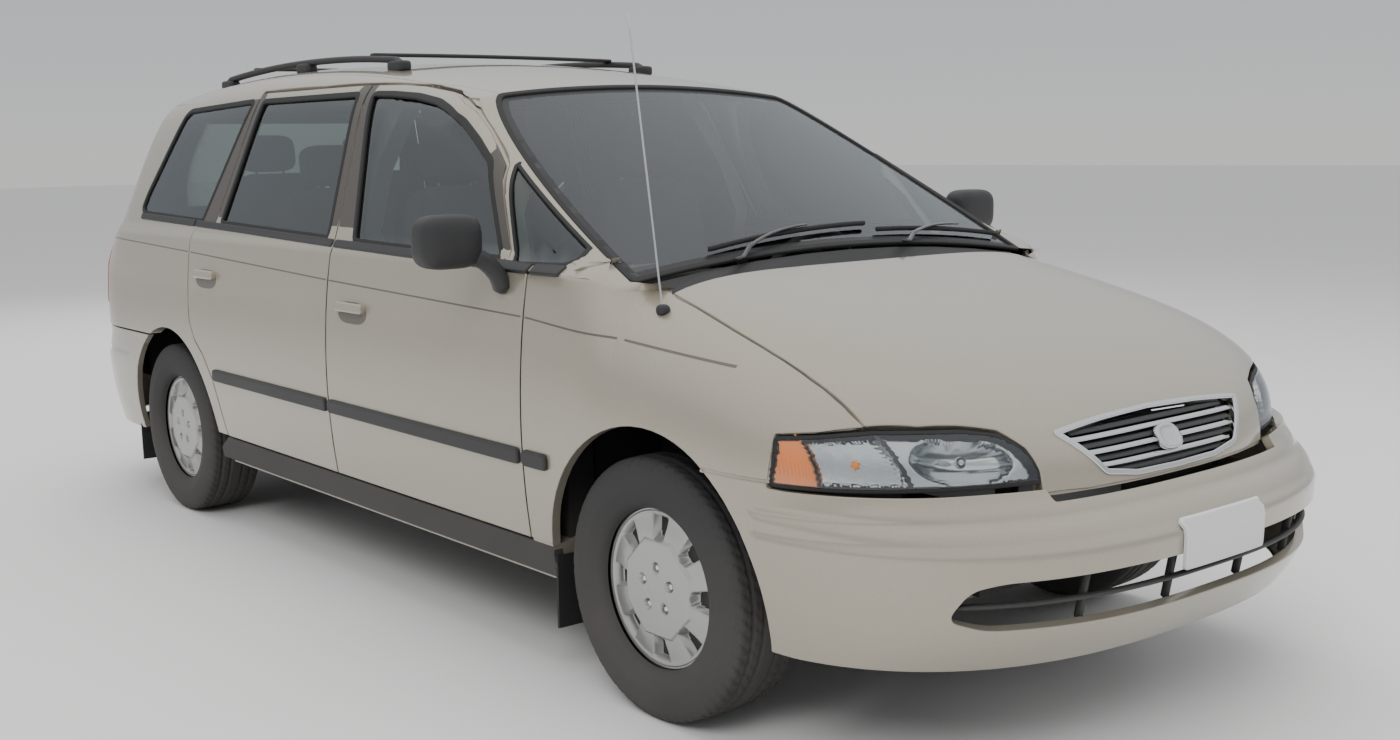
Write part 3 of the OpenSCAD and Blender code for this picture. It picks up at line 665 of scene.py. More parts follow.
# the pinstripe's own colour, also used for the painted shade in the door handles' recesses
stripe_and_shade = material("pinstripe", (0.085, 0.07, 0.058), 0.35, 0, 0.5, 0.1, 200, 0.02)
side_tint = thin_glass("side_glass_tint", (0.50, 0.58, 0.53))
rear_tint = thin_glass("rear_glass_tint", (0.36, 0.42, 0.39))
screen_tint = thin_glass("screen_tint", (0.60, 0.67, 0.66))
lens = thin_glass("lamp_lens", (0.90, 0.92, 0.92), 0.05, 0.35)

for name, m in {
    "body_side_left": shell_paint, "body_side_right": shell_paint, "front_fenders": shell_paint, "roof": roof_paint,
    "tailgate": gate_paint, "front_door_left": shell_paint, "front_door_right": shell_paint,
    "rear_door_left": shell_paint, "rear_door_right": shell_paint, "hood": roof_paint, "front_bumper": paint,
    "rear_bumper": paint, "underbody": chassis, "front_suspension": iron, "rear_suspension": iron,
    "engine": engine_grey, "fuel_tank": chassis, "exhaust": exhaust_steel, "mud_flaps": rubber,
    "knuckle_left": iron, "knuckle_right": iron, "dashboard": plastic, "steering_wheel": plastic,
    "grille": black, "fuel_door": paint, "cowl": black, "headlamps": black, "tail_lamps": red,
}.items():
    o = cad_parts[name]
    o.data.materials.clear()
    o.data.materials.append(m)

# ---------------------------------------------------------------- outlines


def mm(*pts):
    return np.array(pts, float) / 1000


def circle_arc(cy, cz, r, a0, a1, n=28):
    a = np.radians(np.linspace(a0, a1, n))
    return np.stack([cy + r * np.cos(a), cz + r * np.sin(a)], 1)


front_door = mm([-969, 352], [82, 352], [82, 1052], [150, 1532], [0, 1527], [-140, 1516], [-266, 1496],
                [-360, 1470], [-438, 1441], [-540, 1385], [-648, 1318], [-690, 1291], [-862, 1036], [-969, 1028])
front_glass = mm([-812, 1052], [-25, 1068], [112, 1506], [0, 1502], [-140, 1491], [-266, 1471], [-345, 1448],
                 [-438, 1413], [-540, 1358], [-640, 1298])
rear_door = mm([89, 352], [910, 352], [941, 468], [972, 548], [1040, 631], [1106, 680], [1143, 740], [1152, 800],
               [1167, 1076], [1000, 1073], [905, 1533], [158, 1533], [89, 1052])
rear_glass = mm([137, 1071], [957, 1092], [874, 1507], [198, 1508])
quarter_glass = mm([1118, 1096], [1690, 1112], [1716, 1130], [1700, 1180], [1530, 1472], [1500, 1488], [951, 1507])
corner_glass = mm([-876, 1046], [-1085, 1052], [-1112, 1066], [-1104, 1084], [-706, 1300])
tail_window = mm([-560, 1096], [560, 1096], [578, 1110], [500, 1440], [470, 1466], [-470, 1466], [-500, 1440],
                 [-578, 1110])
LIFT = -0.0012  # the skins lie this far outside the CAD panels

# sizes for panel(): step, edge, hem, depth, lift
SEAL = (0.03, 0.012, 0.003, 0.008, -0.003)
PANE = (0.05, 0.02, 0.001, 0.003)
SKIN = (0.024, 0.012, 0.003, 0.02, LIFT)
WIDE_SKIN = (0.024, 0.013, 0.003, 0.02, LIFT)
FINE_SKIN = (0.022, 0.012, 0.003, 0.02, LIFT)

# ---------------------------------------------------------------- sides


def line_side(a, b, y, z):
    """How far y is behind the line from a to b at that height."""
    return y - (a[0] + (b[0] - a[0]) * (z - a[1]) / (b[1] - a[1]))


def film_index(v, f, dark):
    """Material 1, the dark pillar film, on the faces whose middle passes the test."""
    return [int(bool(dark(*v[list(t)].mean(0)[1:]))) for t in f]


def door(end, outline, glass, tint, dark):
    """Skin, window seal and pane of the two doors at one end."""
    hole = curved(glass, 0.02)
    skin = panel(side, curved(outline, 0.012), [hole], *SKIN)
    body = f"{end}_*_door"
    both(f"{end}_door_skin", skin, [paint, pillar_dark], body, index=film_index(*skin[:2], dark), slot="paint")
    both(f"{end}_door_seal", ring(side, hole, 0.007, 0.010, *SEAL), rubber, body, slot="rubber")
    both(f"{end}_door_pane", panel(side, hole, [], *PANE, 0.006), tint, body,
         replaces=[f"{end}_door_glass_*"], slot="glass_clear")


door("front", front_door, front_glass, side_tint,
     lambda y, z: z > 1.056 and (line_side((-0.025, 1.068), (0.112, 1.506), y, z) > -0.004
                                 or line_side((-0.812, 1.052), (-0.640, 1.298), y, z) < 0.004))
door("rear", rear_door, rear_glass, rear_tint,
     lambda y, z: z > 1.060 and (line_side((0.137, 1.071), (0.198, 1.508), y, z) < 0.004
                                 or line_side((0.957, 1.092), (0.874, 1.507), y, z) > -0.004))

# fixed panes, quarter panel, sills, rail
both("quarter_pane", panel(side, curved(quarter_glass, 0.02), [], *PANE, 0.004), rear_tint, "body",
     slot="glass_clear", replaces=["side_glass"])
quarter_hole = inset(curved(quarter_glass, 0.02), -0.004)


def to_quarter(pts):
    return np.array([[quarter_u(y, z), z] for y, z in pts])


def gate_u(z, extra=0.006):
    """Distance round the quarter panel at which it meets the tailgate."""
    i = int(np.clip(np.searchsorted(QZ, z), 1, len(QZ) - 1))
    x, v = quarter_tab.g[i][:, 0], quarter_tab.v
    e = np.argmax(x < float(gate_x(z)) + extra)
    return float(v[e])


back_low = [[gate_u(z), z] for z in (0.661, 0.70, 0.734)]
lamp_u = [quarter_u(2.024, 0.734), quarter_u(2.024, 1.031)]
back_high = [[gate_u(z), z] for z in (1.031, 1.06, 1.12, 1.18, 1.25, 1.32, 1.39, 1.45, 1.49, 1.512)]
quarter_outline = np.vstack([
    to_quarter([(0.916, 0.352), (0.992, 0.352)]),
    to_quarter(circle_arc(1.374, 0.316, 0.382, 168, 64.6)),
    to_quarter([(1.65, 0.661), (1.80, 0.661)]),
    back_low, [[lamp_u[0], 0.734], [lamp_u[1], 1.031]], back_high,
    to_quarter([(y, 1.514) for y in (1.70, 1.5, 1.3, 1.1, 0.915)]),
    to_quarter([(1.006, 1.076), (1.173, 1.079), (1.158, 0.800), (1.149, 0.737), (1.109, 0.675), (1.044, 0.626),
                (0.977, 0.545), (0.947, 0.466)]),
])
fuel_hole = curved(to_quarter([(1.560, 0.800), (1.710, 0.800), (1.710, 0.930), (1.560, 0.930)]), 0.016)
for s, extra_hole in (("right", []), ("left", [fuel_hole])):
    skin = panel(quarter, quarter_outline, [to_quarter(quarter_hole), *extra_hole], *WIDE_SKIN,
                 opened=lambda q: q[:, 1] > 1.5125)
    film = film_index(*skin[:2], lambda y, z: z > 1.066 and y < 1.16
                      and line_side((1.118, 1.096), (0.951, 1.507), y, z) < 0.004)
    single(f"quarter_skin_{s}", skin, [paint, pillar_dark], "body", index=film, slot="paint", flip=s == "right")
fuel = curved(to_quarter([(1.566, 0.806), (1.704, 0.806), (1.704, 0.924), (1.566, 0.924)]), 0.014)
single("fuel_door_skin", panel(quarter, fuel, [], 0.03, 0.012, 0.002, 0.012, LIFT), paint, "fuel_door", slot="paint")
both("quarter_seal", ring(side, quarter_hole, 0.006, 0.011, *SEAL), rubber, "body", slot="rubber")

sill = mm([-1066, 262], [992, 262], [992, 300], [915, 346], [-1066, 346])
both("sill_skin", panel(side, sill, [], 0.03, 0.015, 0.004, 0.03, -0.002), sill_black, "body", slot="trim_black")


def sky_s(y, z):
    i = int(np.clip(np.searchsorted(SY, y), 1, len(SY) - 1))
    g, v = sky_tab.g[i], sky_tab.v
    end = int(np.searchsorted(v, sky_tab.total[i]))
    return float(np.interp(-z, -g[:end, 2], v[:end]))


def to_sky(pts):
    return np.array([[y, sky_s(y, z)] for y, z in pts])


rail_low = to_sky([(-1.17, 1.034), (-1.02, 1.034), (-0.975, 1.034), (-0.868, 1.041), (-0.697, 1.296), (-0.652, 1.325),
                   (-0.543, 1.392), (-0.441, 1.448), (-0.362, 1.477), (-0.267, 1.503), (-0.140, 1.523), (0, 1.534),
                   (0.150, 1.539), (0.45, 1.540), (0.905, 1.540), (0.912, 1.530), (0.915, 1.514), (1.1, 1.514),
                   (1.3, 1.514), (1.5, 1.514), (1.70, 1.514), (1.80, 1.513)])
rail_high = np.array([[y, 0.0005] for y in np.linspace(1.84, -1.17, 60)])
rail_outline = np.vstack([rail_low, to_sky([(1.885, 1.512)]), rail_high])
corner = to_sky(curved(corner_glass, 0.012))
rail_top = 1.514  # height at which the rail meets the quarter panel


def rail_open(q):
    """Outline points under the roof skin and along the quarter panel, which have no hem."""
    seam = np.array([sky_s(y, rail_top) for y in q[:, 0]])
    return (q[:, 1] < 0.002) | ((q[:, 0] > 0.913) & (np.abs(q[:, 1] - seam) < 0.006))


both("rail_skin", panel(sky_tab, rail_outline, [corner], 0.024, 0.013, 0.003, 0.016, LIFT, opened=rail_open),
     paint, "body", slot="paint")
both("corner_pane", panel(sky_tab, corner, [], *PANE, 0.004), side_tint, "body", slot="glass_clear")
both("corner_seal", ring(sky_tab, corner, 0.004, 0.009, *SEAL), rubber, "body", slot="rubber")


def to_fender(pts):
    return np.array([[y, v_where(fender_tab, y, 2, z)] for y, z in pts])


tip = [(float(nose_at(x, z)), x) for x, z in ((0.860, 0.745), (0.80, 0.752), (0.731, 0.763))]
hood_seam = ((-1.96, 0.732), (-1.90, 0.733), (-1.851, 0.734), (-1.79, 0.732), (-1.728, 0.728), (-1.66, 0.722),
             (-1.59, 0.715), (-1.51, 0.705), (-1.437, 0.695), (-1.37, 0.689), (-1.345, 0.686))


def shoulder(y):
    """Height at which the fender meets the windscreen pillar."""
    return min(1.026, max(0.998, float(side_top(y))))


fender_outline = np.vstack([
    to_fender([(-0.975, 0.352), (-1.066, 0.352)]),
    to_fender(circle_arc(-1.455, 0.316, 0.390, 5.3, 121.9)),
    to_fender([(-1.75, 0.647), (-1.853, 0.647), (-1.857, 0.70), (-1.857, 0.744)]),
    [[y, v_where(fender_tab, y, 0, x, False)] for y, x in tip[1:]],
    [[y, v_where(fender_tab, y, 0, x + 0.006, False)] for y, x in hood_seam],
    to_fender([(y, shoulder(y)) for y in (-1.32, -1.27, -1.2, -1.1, -1.0, -0.975)]),
])
both("fender_skin", panel(fender_tab, curved(fender_outline, 0.004, 3), [], *FINE_SKIN), paint, "body", slot="paint")

# foot of the windscreen pillar, from the top of the fender to the glass
foot_y = np.concatenate([np.linspace(-1.325, -1.10, 26), np.linspace(-1.09, -0.98, 12)])
foot_low = np.array([fender_tab(to_fender([(y, shoulder(y))]))[0][0] for y in foot_y])


def foot_top(y):
    """Where the pillar's foot ends: at the windscreen's edge, and behind it under the corner glass."""
    if y >= -1.16:
        return [float(half(y, 1.040)), y, 1.040]
    seen = max(y, -1.245)
    x = float(rim_x(seen)) + 0.004
    return [min(x, 0.742), y, max(float(sky_z(np.array([x - 0.006]), seen)[0]), 0.985) + 0.001]


foot_high = np.array([foot_top(y) for y in foot_y])
swell = np.clip(np.abs(foot_low[:, 0] - foot_high[:, 0]) / 0.1, 0, 1)[:, None] * [0.012, 0, 0.006]
rows = [foot_low * (1 - t) + foot_high * t + swell * math.sin(t * math.pi) for t in np.linspace(0, 1, 9)]
both("pillar_foot", (np.vstack(rows), grid_faces(9, len(foot_y)), None), paint, "body", slot="paint")

# ---------------------------------------------------------------- hood, roof, windscreen, tailgate


def hood_xy(x, y):
    return [x, v_where(hood_tab, x, 1, y, False) if y < -1.345 else 0.001]


def hood_xz(x, z):
    return [x, v_where(hood_tab, x, 2, z, False)]


half_edge = [hood_xy(x, y) for x, y in ((0.3, -1.33), (0.6, -1.33), (0.684, -1.33), (0.695, -1.437), (0.705, -1.515),
                                       (0.715, -1.59), (0.722, -1.66), (0.728, -1.728), (0.732, -1.79),
                                       (0.734, -1.851), (0.733, -1.93), (0.731, -2.000))]
half_edge += [hood_xz(x, z) for x, z in ((0.728, 0.764), (0.64, 0.761), (0.56, 0.758), (0.484, 0.744),
                                        (0.442, 0.706), (0.426, 0.66), (0.424, 0.608), (0.3, 0.608), (0.15, 0.608))]
half_edge = np.array(half_edge)
hood_outline = np.vstack([half_edge, [hood_xz(0.0, 0.608)], half_edge[::-1] * [-1, 1], [[0, 0.001]]])
grille_out = [(-0.352, 0.726), (-0.25, 0.634), (-0.15, 0.620), (0, 0.618), (0.15, 0.620), (0.25, 0.634),
              (0.352, 0.726), (0.18, 0.738), (0, 0.742), (-0.18, 0.738)]
grille_hole = np.array([hood_xz(x, z) for x, z in grille_out])
grille_edge = curved(grille_hole, 0.012)
single("hood_skin", panel(hood_tab, curved(hood_outline, 0.004, 3), [grille_edge], *FINE_SKIN), paint, "hood",
       slot="paint")

sky = smooth_fn(lambda x, y: np.stack([x, y, sky_z(x, y)], -1), 1e-3)
ys = np.linspace(-0.394, 1.83, 60)
rear = [[x, float(tail_at(x, 1.492)) - 0.036] for x in np.linspace(0.515, -0.515, 25)]
roof_outline = np.vstack([[[float(rim_x(y)) - 0.002, y] for y in ys], rear,
                          [[-float(rim_x(y)) + 0.002, y] for y in ys[::-1]]])
single("roof_skin", panel(sky, roof_outline, [], 0.035, 0.02, 0.003, 0.012, LIFT), paint, "body", slot="paint")

ys = np.linspace(-1.245, -0.404, 30)
screen_half = np.stack([rim_x(ys) - 0.006, ys], 1)
screen_outline = np.vstack([screen_half, (screen_half * [-1, 1])[::-1]])
screen_outline = curved(screen_outline, [0.03 if i in (0, 29, 30, 59) else 0.0 for i in range(60)])
clear_edge = inset(screen_outline, 0.030)
flat = (0.05, 0.02, 0.0, 0.0, 0.003)
single("windscreen_pane", panel(sky, clear_edge, [], *flat), screen_tint, "body", slot="glass_clear",
       replaces=["windscreen"])
v, f, _ = panel(sky, screen_outline, [clear_edge], *flat)
put("windscreen_border", v, f, border_black, "body", slot="trim_black")
single("windscreen_seal", ring(sky, screen_outline, 0.008, 0.010, 0.03, 0.015, 0.004, 0.008, -0.0035), rubber,
       "body", slot="rubber")


def gate_f(x, v):
    """The tailgate over width and height, with its top edge rolled forward into the roof."""
    z = np.minimum(v, 1.492)
    y = tail_at(x, z)
    t = np.clip((v - 1.492) / 0.032, 0, 1)
    edge = tail_at(x, np.full_like(x, 1.492))
    top = sky_z(x, edge - 0.03)
    on = v > 1.492
    zz = np.where(on, 1.492 + (top - 1.492) * np.sin(t * math.pi / 2), v)
    yy = np.where(on, edge - 0.030 * (1 - np.cos(t * math.pi / 2)) ** 0.9, y)
    return np.stack([x, yy, zz], -1)


gate = smooth_fn(gate_f, 1e-3)
right_edge = [[float(gate_x(z)), z] for z in (0.664, 0.72, 0.80, 0.88, 0.96, 1.03, 1.06, 1.12, 1.18, 1.25, 1.32, 1.39,
                                             1.44, 1.492, 1.505, 1.522)]
gate_outline = np.array(right_edge + [[-x, z] for x, z in right_edge[::-1]])
window = curved(tail_window, 0.03)
single("tailgate_skin", panel(gate, curved(gate_outline, 0.006, 3), [window], 0.028, 0.014, 0.003, 0.02, LIFT),
       paint, "tailgate", slot="paint")
single("tailgate_pane", panel(gate, window, [], *PANE, 0.004), rear_tint, "tailgate", slot="glass_clear",
       replaces=["tailgate_glass"])
single("tailgate_seal", ring(gate, window, 0.007, 0.014, 0.03, 0.014, 0.003, 0.008, -0.003), rubber, "tailgate",
       slot="rubber")

# ---------------------------------------------------------------- bumpers

BUMPER_LOW = 0.262  # height of the lower edge
front_bumper = bumper_table(-1.68, -2.265, 2.6, (0.531, 0.577))
rear_bumper = bumper_table(1.64, 2.3, 4, (0.560,))


def bumper_pt(tab, z, x=None, y=None):
    """Distance round the bumper and height, from x on the front face or y on the side."""
    i = int(np.clip(np.searchsorted(tab.half.u, z), 1, len(tab.half.u) - 1))
    g, v = tab.half.g[i], tab.half.v
    end = int(np.searchsorted(v, tab.half.total[i]))
    if y is None:
        return [math.copysign(float(np.interp(abs(x), g[:end, 0], v[:end])), x), z]
    return [float(np.interp(-abs(y), -np.abs(g[:end, 1]), v[:end])), z]


def skin_bumper(tab):
    return lambda q: tab(q[:, ::-1])


def bumper_points(tab, xz=(), yz=()):
    return [bumper_pt(tab, z, x=x) for x, z in xz] + [bumper_pt(tab, z, y=y) for y, z in yz]


def bumper_outline(points, top):
    """The whole outline from its left half."""
    points = np.array(points)
    return curved(np.vstack([points, [[0, BUMPER_LOW]], points[::-1] * [-1, 1], [[0, top]]]), 0.005, 3)


outline = bumper_outline(
    bumper_points(front_bumper, ((0.15, 0.602), (0.30, 0.602), (0.428, 0.602), (0.434, 0.626), (0.56, 0.628),
                                 (0.66, 0.628), (0.76, 0.629)),
                  ((-1.90, 0.630), (-1.857, 0.632), (-1.855, 0.641), (-1.76, 0.641), (-1.666, 0.641),
                   *circle_arc(-1.455, 0.316, 0.390, 123.5, 187.5, 16), (-1.90, BUMPER_LOW)))
    + bumper_points(front_bumper, [(x, BUMPER_LOW) for x in (0.72, 0.5, 0.25)]), 0.602)
intake = np.array([bumper_pt(front_bumper, z, x=x) for x, z in (
    (-0.69, 0.385), (-0.66, 0.448), (-0.60, 0.462), (-0.3, 0.466), (0.3, 0.466), (0.60, 0.462), (0.66, 0.448),
    (0.69, 0.385), (0.62, 0.360), (0.3, 0.356), (-0.3, 0.356), (-0.62, 0.360))])
single("front_bumper_skin", panel(skin_bumper(front_bumper), outline, [curved(intake, 0.03)], 0.016, 0.012, 0.003,
                                  0.022, LIFT), paint, "body", slot="paint", replaces=["front_bumper"])

outline = bumper_outline(
    bumper_points(rear_bumper, [(x, 0.655) for x in (0.2, 0.4, 0.6, 0.7, 0.8)],
                  [*((y, 0.655) for y in (2.15, 1.9, 1.7, 1.55)), *circle_arc(1.374, 0.316, 0.382, 61, -8, 16),
                   (1.90, BUMPER_LOW), (2.10, BUMPER_LOW)])
    + bumper_points(rear_bumper, [(x, BUMPER_LOW) for x in (0.8, 0.6, 0.3)]), 0.655)
single("rear_bumper_skin", panel(skin_bumper(rear_bumper), outline, [], 0.02, 0.014, 0.003, 0.022, LIFT), paint,
       "body", slot="paint", replaces=["rear_bumper"])

# ---------------------------------------------------------------- stage, light, camera

floor = bpy.data.meshes.new("floor")
floor.from_pydata([(-60, -60, 0), (60, -60, 0), (60, 60, 0), (-60, 60, 0)], [], [(0, 1, 2, 3)])
floor.materials.append(material("floor_paper", (0.62, 0.62, 0.61), 0.85, spread=0.02, grain=40, bump=0.0))
fo = bpy.data.objects.new("floor", floor)
bpy.context.scene.collection.objects.link(fo)

world = bpy.data.worlds.new("studio")
bpy.context.scene.world = world
world.use_nodes = True
wt = world.node_tree
height = node(wt, "SeparateXYZ", (), {"Vector": node(wt, "TexCoord")["Generated"]})["Z"]
sky_ramp = wt.nodes.new("ShaderNodeValToRGB")
wt.links.new(height, sky_ramp.inputs[0])
wt.links.new(sky_ramp.outputs[0], wt.nodes["Background"].inputs["Color"])
wt.nodes["Background"].inputs["Strength"].default_value = 0.95
sky_ramp.color_ramp.elements[0].color = (0.70, 0.70, 0.69, 1)
sky_ramp.color_ramp.elements[1].color = (1.0, 1.0, 1.0, 1)
for at, colour in ((0.03, (0.66, 0.67, 0.68, 1)), (0.14, (0.56, 0.58, 0.60, 1)), (0.45, (0.90, 0.92, 0.94, 1))):
    sky_ramp.color_ramp.elements.new(at).color = colour


def soft_light(name, at, target, size, power):
    """A large lamp that lights the car without showing in its paint and glass."""
    ld = bpy.data.lights.new(name, "AREA")
    ld.shape = "RECTANGLE"
    ld.size, ld.size_y = size
    ld.energy = power
    lo = bpy.data.objects.new(name, ld)
    lo.location = at
    lo.rotation_euler = (Vector(target) - Vector(at)).to_track_quat("-Z", "Y").to_euler()
    lo.visible_glossy = False
    bpy.context.scene.collection.objects.link(lo)


soft_light("key", (-6.5, -5.0, 6.5), (0, 0, 0.8), (5, 4), 520)
soft_light("top", (0, 0.5, 7.5), (0, 0, 0.8), (7, 9), 420)
soft_light("fill", (6, -5, 3.5), (0, -0.5, 0.8), (4, 3), 160)
soft_light("back", (3, 8, 5), (0, 0, 0.8), (6, 3), 260)

CAMERA_AT = (-2.976, -4.100, 1.339)
FOCAL, SENSOR, FRAME_WIDTH = 1512.8, 36, 1400
yaw, pitch, roll = math.radians(38.2), math.radians(-10.27), math.radians(-0.94)
forward = Vector((math.sin(yaw) * math.cos(pitch), math.cos(yaw) * math.cos(pitch), math.sin(pitch)))
level = Vector((math.cos(yaw), -math.sin(yaw), 0))
above = level.cross(forward)
right = math.cos(roll) * level + math.sin(roll) * above
up = -math.sin(roll) * level + math.cos(roll) * above
cam = bpy.data.cameras.new("photo_view")
cam.sensor_width = SENSOR
cam.lens = FOCAL * SENSOR / FRAME_WIDTH
cam.shift_x, cam.shift_y = 0.0456, 0.0346
co = bpy.data.objects.new("photo_view", cam)
co.matrix_world = Matrix([(right[i], up[i], -forward[i], CAMERA_AT[i]) for i in range(3)] + [(0, 0, 0, 1)])
bpy.context.scene.collection.objects.link(co)
bpy.context.scene.camera = co
bpy.context.scene.view_settings.view_transform = "AgX"

# ---------------------------------------------------------------- swept and turned pieces


def tube(name, pts, w, h, mats, body, n=14, upward=(0, 0, 1), slot="trim_black", flip=False, replaces=(), p=2.0,
         taper=1.0):
    """A bar swept along points: w wide and h high, oval for p 2 and squarer above, with closed rounded ends."""
    pts = np.asarray(pts, float)
    t = unit(np.gradient(pts, axis=0))
    s = unit(np.cross(t, upward))
    u = np.cross(s, t)
    a = np.linspace(0, 2 * math.pi, n, endpoint=False)
    ca, sa = np.cos(a), np.sin(a)
    cx, cy = np.sign(ca) * np.abs(ca) ** (2 / p) * w / 2, np.sign(sa) * np.abs(sa) ** (2 / p) * h / 2
    k, cap = len(pts), min(w, h) / 2
    stations = [(0, -cap * (1 - e), e) for e in (0.45, 0.85)]
    stations += [(i, 0, 1 + (taper - 1) * i / (k - 1)) for i in range(k)]
    stations += [(-1, cap * (1 - e), e * taper) for e in (0.85, 0.45)]
    v = np.vstack([pts[i] + t[i] * out + s[i] * (cx * g)[:, None] + u[i] * (cy * g)[:, None]
                   for i, out, g in stations])
    f = grid_faces(len(stations), n, close_c=True)
    f += [tuple(range(n))[::-1], tuple(range(len(v) - n, len(v)))]
    return put(name, v, f, mats, body, slot=slot, flip=flip, replaces=replaces)


def spline(pts, n):
    """Points along a smooth curve through the given ones."""
    p = np.asarray(pts, float)
    t = np.linspace(0, len(p) - 1, n)
    i = np.clip(t.astype(int), 0, len(p) - 2)
    f = (t - i)[:, None]
    a, b, c, d = p[np.maximum(i - 1, 0)], p[i], p[i + 1], p[np.minimum(i + 2, len(p) - 1)]
    return 0.5 * (2 * b + (c - a) * f + (2 * a - 5 * b + 4 * c - d) * f**2 + (3 * b - a - 3 * c + d) * f**3)


def soft_box(centre, half, e=0.34, tilt=0.0, nu=40, nv=26, dents=()):
    """A rounded block, such as a cushion, with shallow creases across it."""
    u = np.linspace(-math.pi, math.pi, nu, endpoint=False)
    w = np.linspace(-math.pi / 2, math.pi / 2, nv)
    cu, su = np.sign(np.cos(u)) * np.abs(np.cos(u)) ** e, np.sign(np.sin(u)) * np.abs(np.sin(u)) ** e
    cw, sw = np.abs(np.cos(w)) ** e, np.sign(np.sin(w)) * np.abs(np.sin(w)) ** e
    p = np.stack([np.outer(cw, cu), np.outer(cw, su), np.outer(sw, np.ones(nu))], -1)
    for axis, at, size in dents:
        p *= (1 - size * np.exp(-((p[..., axis] - at) / 0.035) ** 2))[..., None]
    p = p * half
    c, s = math.cos(tilt), math.sin(tilt)
    p = p @ np.array([[1, 0, 0], [0, c, s], [0, -s, c]]) + centre
    f = grid_faces(nv, nu, close_c=True)
    return p.reshape(-1, 3), f


def lump(name, mats, body, *box, mirror=False, slot="trim_black", replaces=(), **k):
    """A piece that is one rounded block, or one on each side where mirror is true."""
    make = both if mirror else single
    return make(name, (*soft_box(*box, **k), None), mats, body, slot=slot, replaces=replaces)


def turned(prof, n):
    """Vertices and faces of a profile of (x, r) turned about the X axis."""
    a = np.linspace(0, 2 * math.pi, n, endpoint=False)
    prof = np.asarray(prof, float)
    v = np.stack([np.repeat(prof[:, 0], n), np.outer(prof[:, 1], np.cos(a)).ravel(),
                  np.outer(prof[:, 1], np.sin(a)).ravel()], 1)
    return v, grid_faces(len(prof), n, close_c=True)


# ---------------------------------------------------------------- wheels and tyres

RIM, FACE = 0.190, 0.078


def tyre_mesh(r_out, w):
    """Tyre about the X axis: bead, sidewall with two raised bands, two tread grooves and sipes."""
    nt, a = 300, np.linspace(0, 2 * math.pi, 300, endpoint=False)
    x = np.concatenate([[0.070, 0.082, 0.090, 0.097, 0.1005, 0.1015, 0.1005, 0.0985, 0.0965, 0.094, 0.0895, 0.085],
                        np.linspace(0.080, 0, 17)[:-1]]) * (w / 0.1015)
    r = np.concatenate([[RIM + 0.002, RIM + 0.006, RIM + 0.016, RIM + 0.034, 0.240, 0.256, 0.270, 0.280, 0.2905, 0.299,
                         0.3065, 0.3115], 0.3135 + 0.0025 * (1 - (np.linspace(0.080, 0, 17)[:-1] / 0.08) ** 2)])
    r = r * np.where(r > 0.30, r_out / 0.316, 1)
    x, r = np.concatenate([x, [0], -x[::-1]]), np.concatenate([r, [r_out], r[::-1]])
    dense_x = np.interp(np.linspace(0, len(x) - 1, 84), np.arange(len(x)), x)
    dense_r = np.interp(np.linspace(0, len(r) - 1, 84), np.arange(len(r)), r)
    ax = np.abs(dense_x)
    tread = dense_r > 0.305
    groove = 0.0065 * (np.exp(-((ax - 0.024) / 0.0042) ** 4) + np.exp(-((ax - 0.056) / 0.0042) ** 4)) * tread
    rr = np.repeat((dense_r - groove)[:, None], nt, 1)
    block = (a[None, :] * 64 / (2 * math.pi) + ax[:, None] * 30 * np.sign(dense_x)[:, None]) % 1
    sipe = np.exp(-((block - 0.5) / 0.10) ** 4) * ((ax > 0.060) & (dense_r > 0.297))[:, None]
    mid = np.exp(-(((block + 0.3) % 1 - 0.5) / 0.07) ** 4) * ((ax > 0.027) & (ax < 0.054) & tread)[:, None]
    rr = rr - 0.0045 * sipe - 0.004 * mid
    xx = np.repeat(dense_x[:, None], nt, 1)
    band = 0.0013 * (np.exp(-((dense_r - 0.262) / 0.003) ** 4) + np.exp(-((dense_r - 0.232) / 0.0022) ** 4))
    xx = xx - np.sign(dense_x)[:, None] * band[:, None]
    v = np.stack([xx, rr * np.cos(a), rr * np.sin(a)], -1).reshape(-1, 3)
    return v, grid_faces(84, nt, close_c=True)


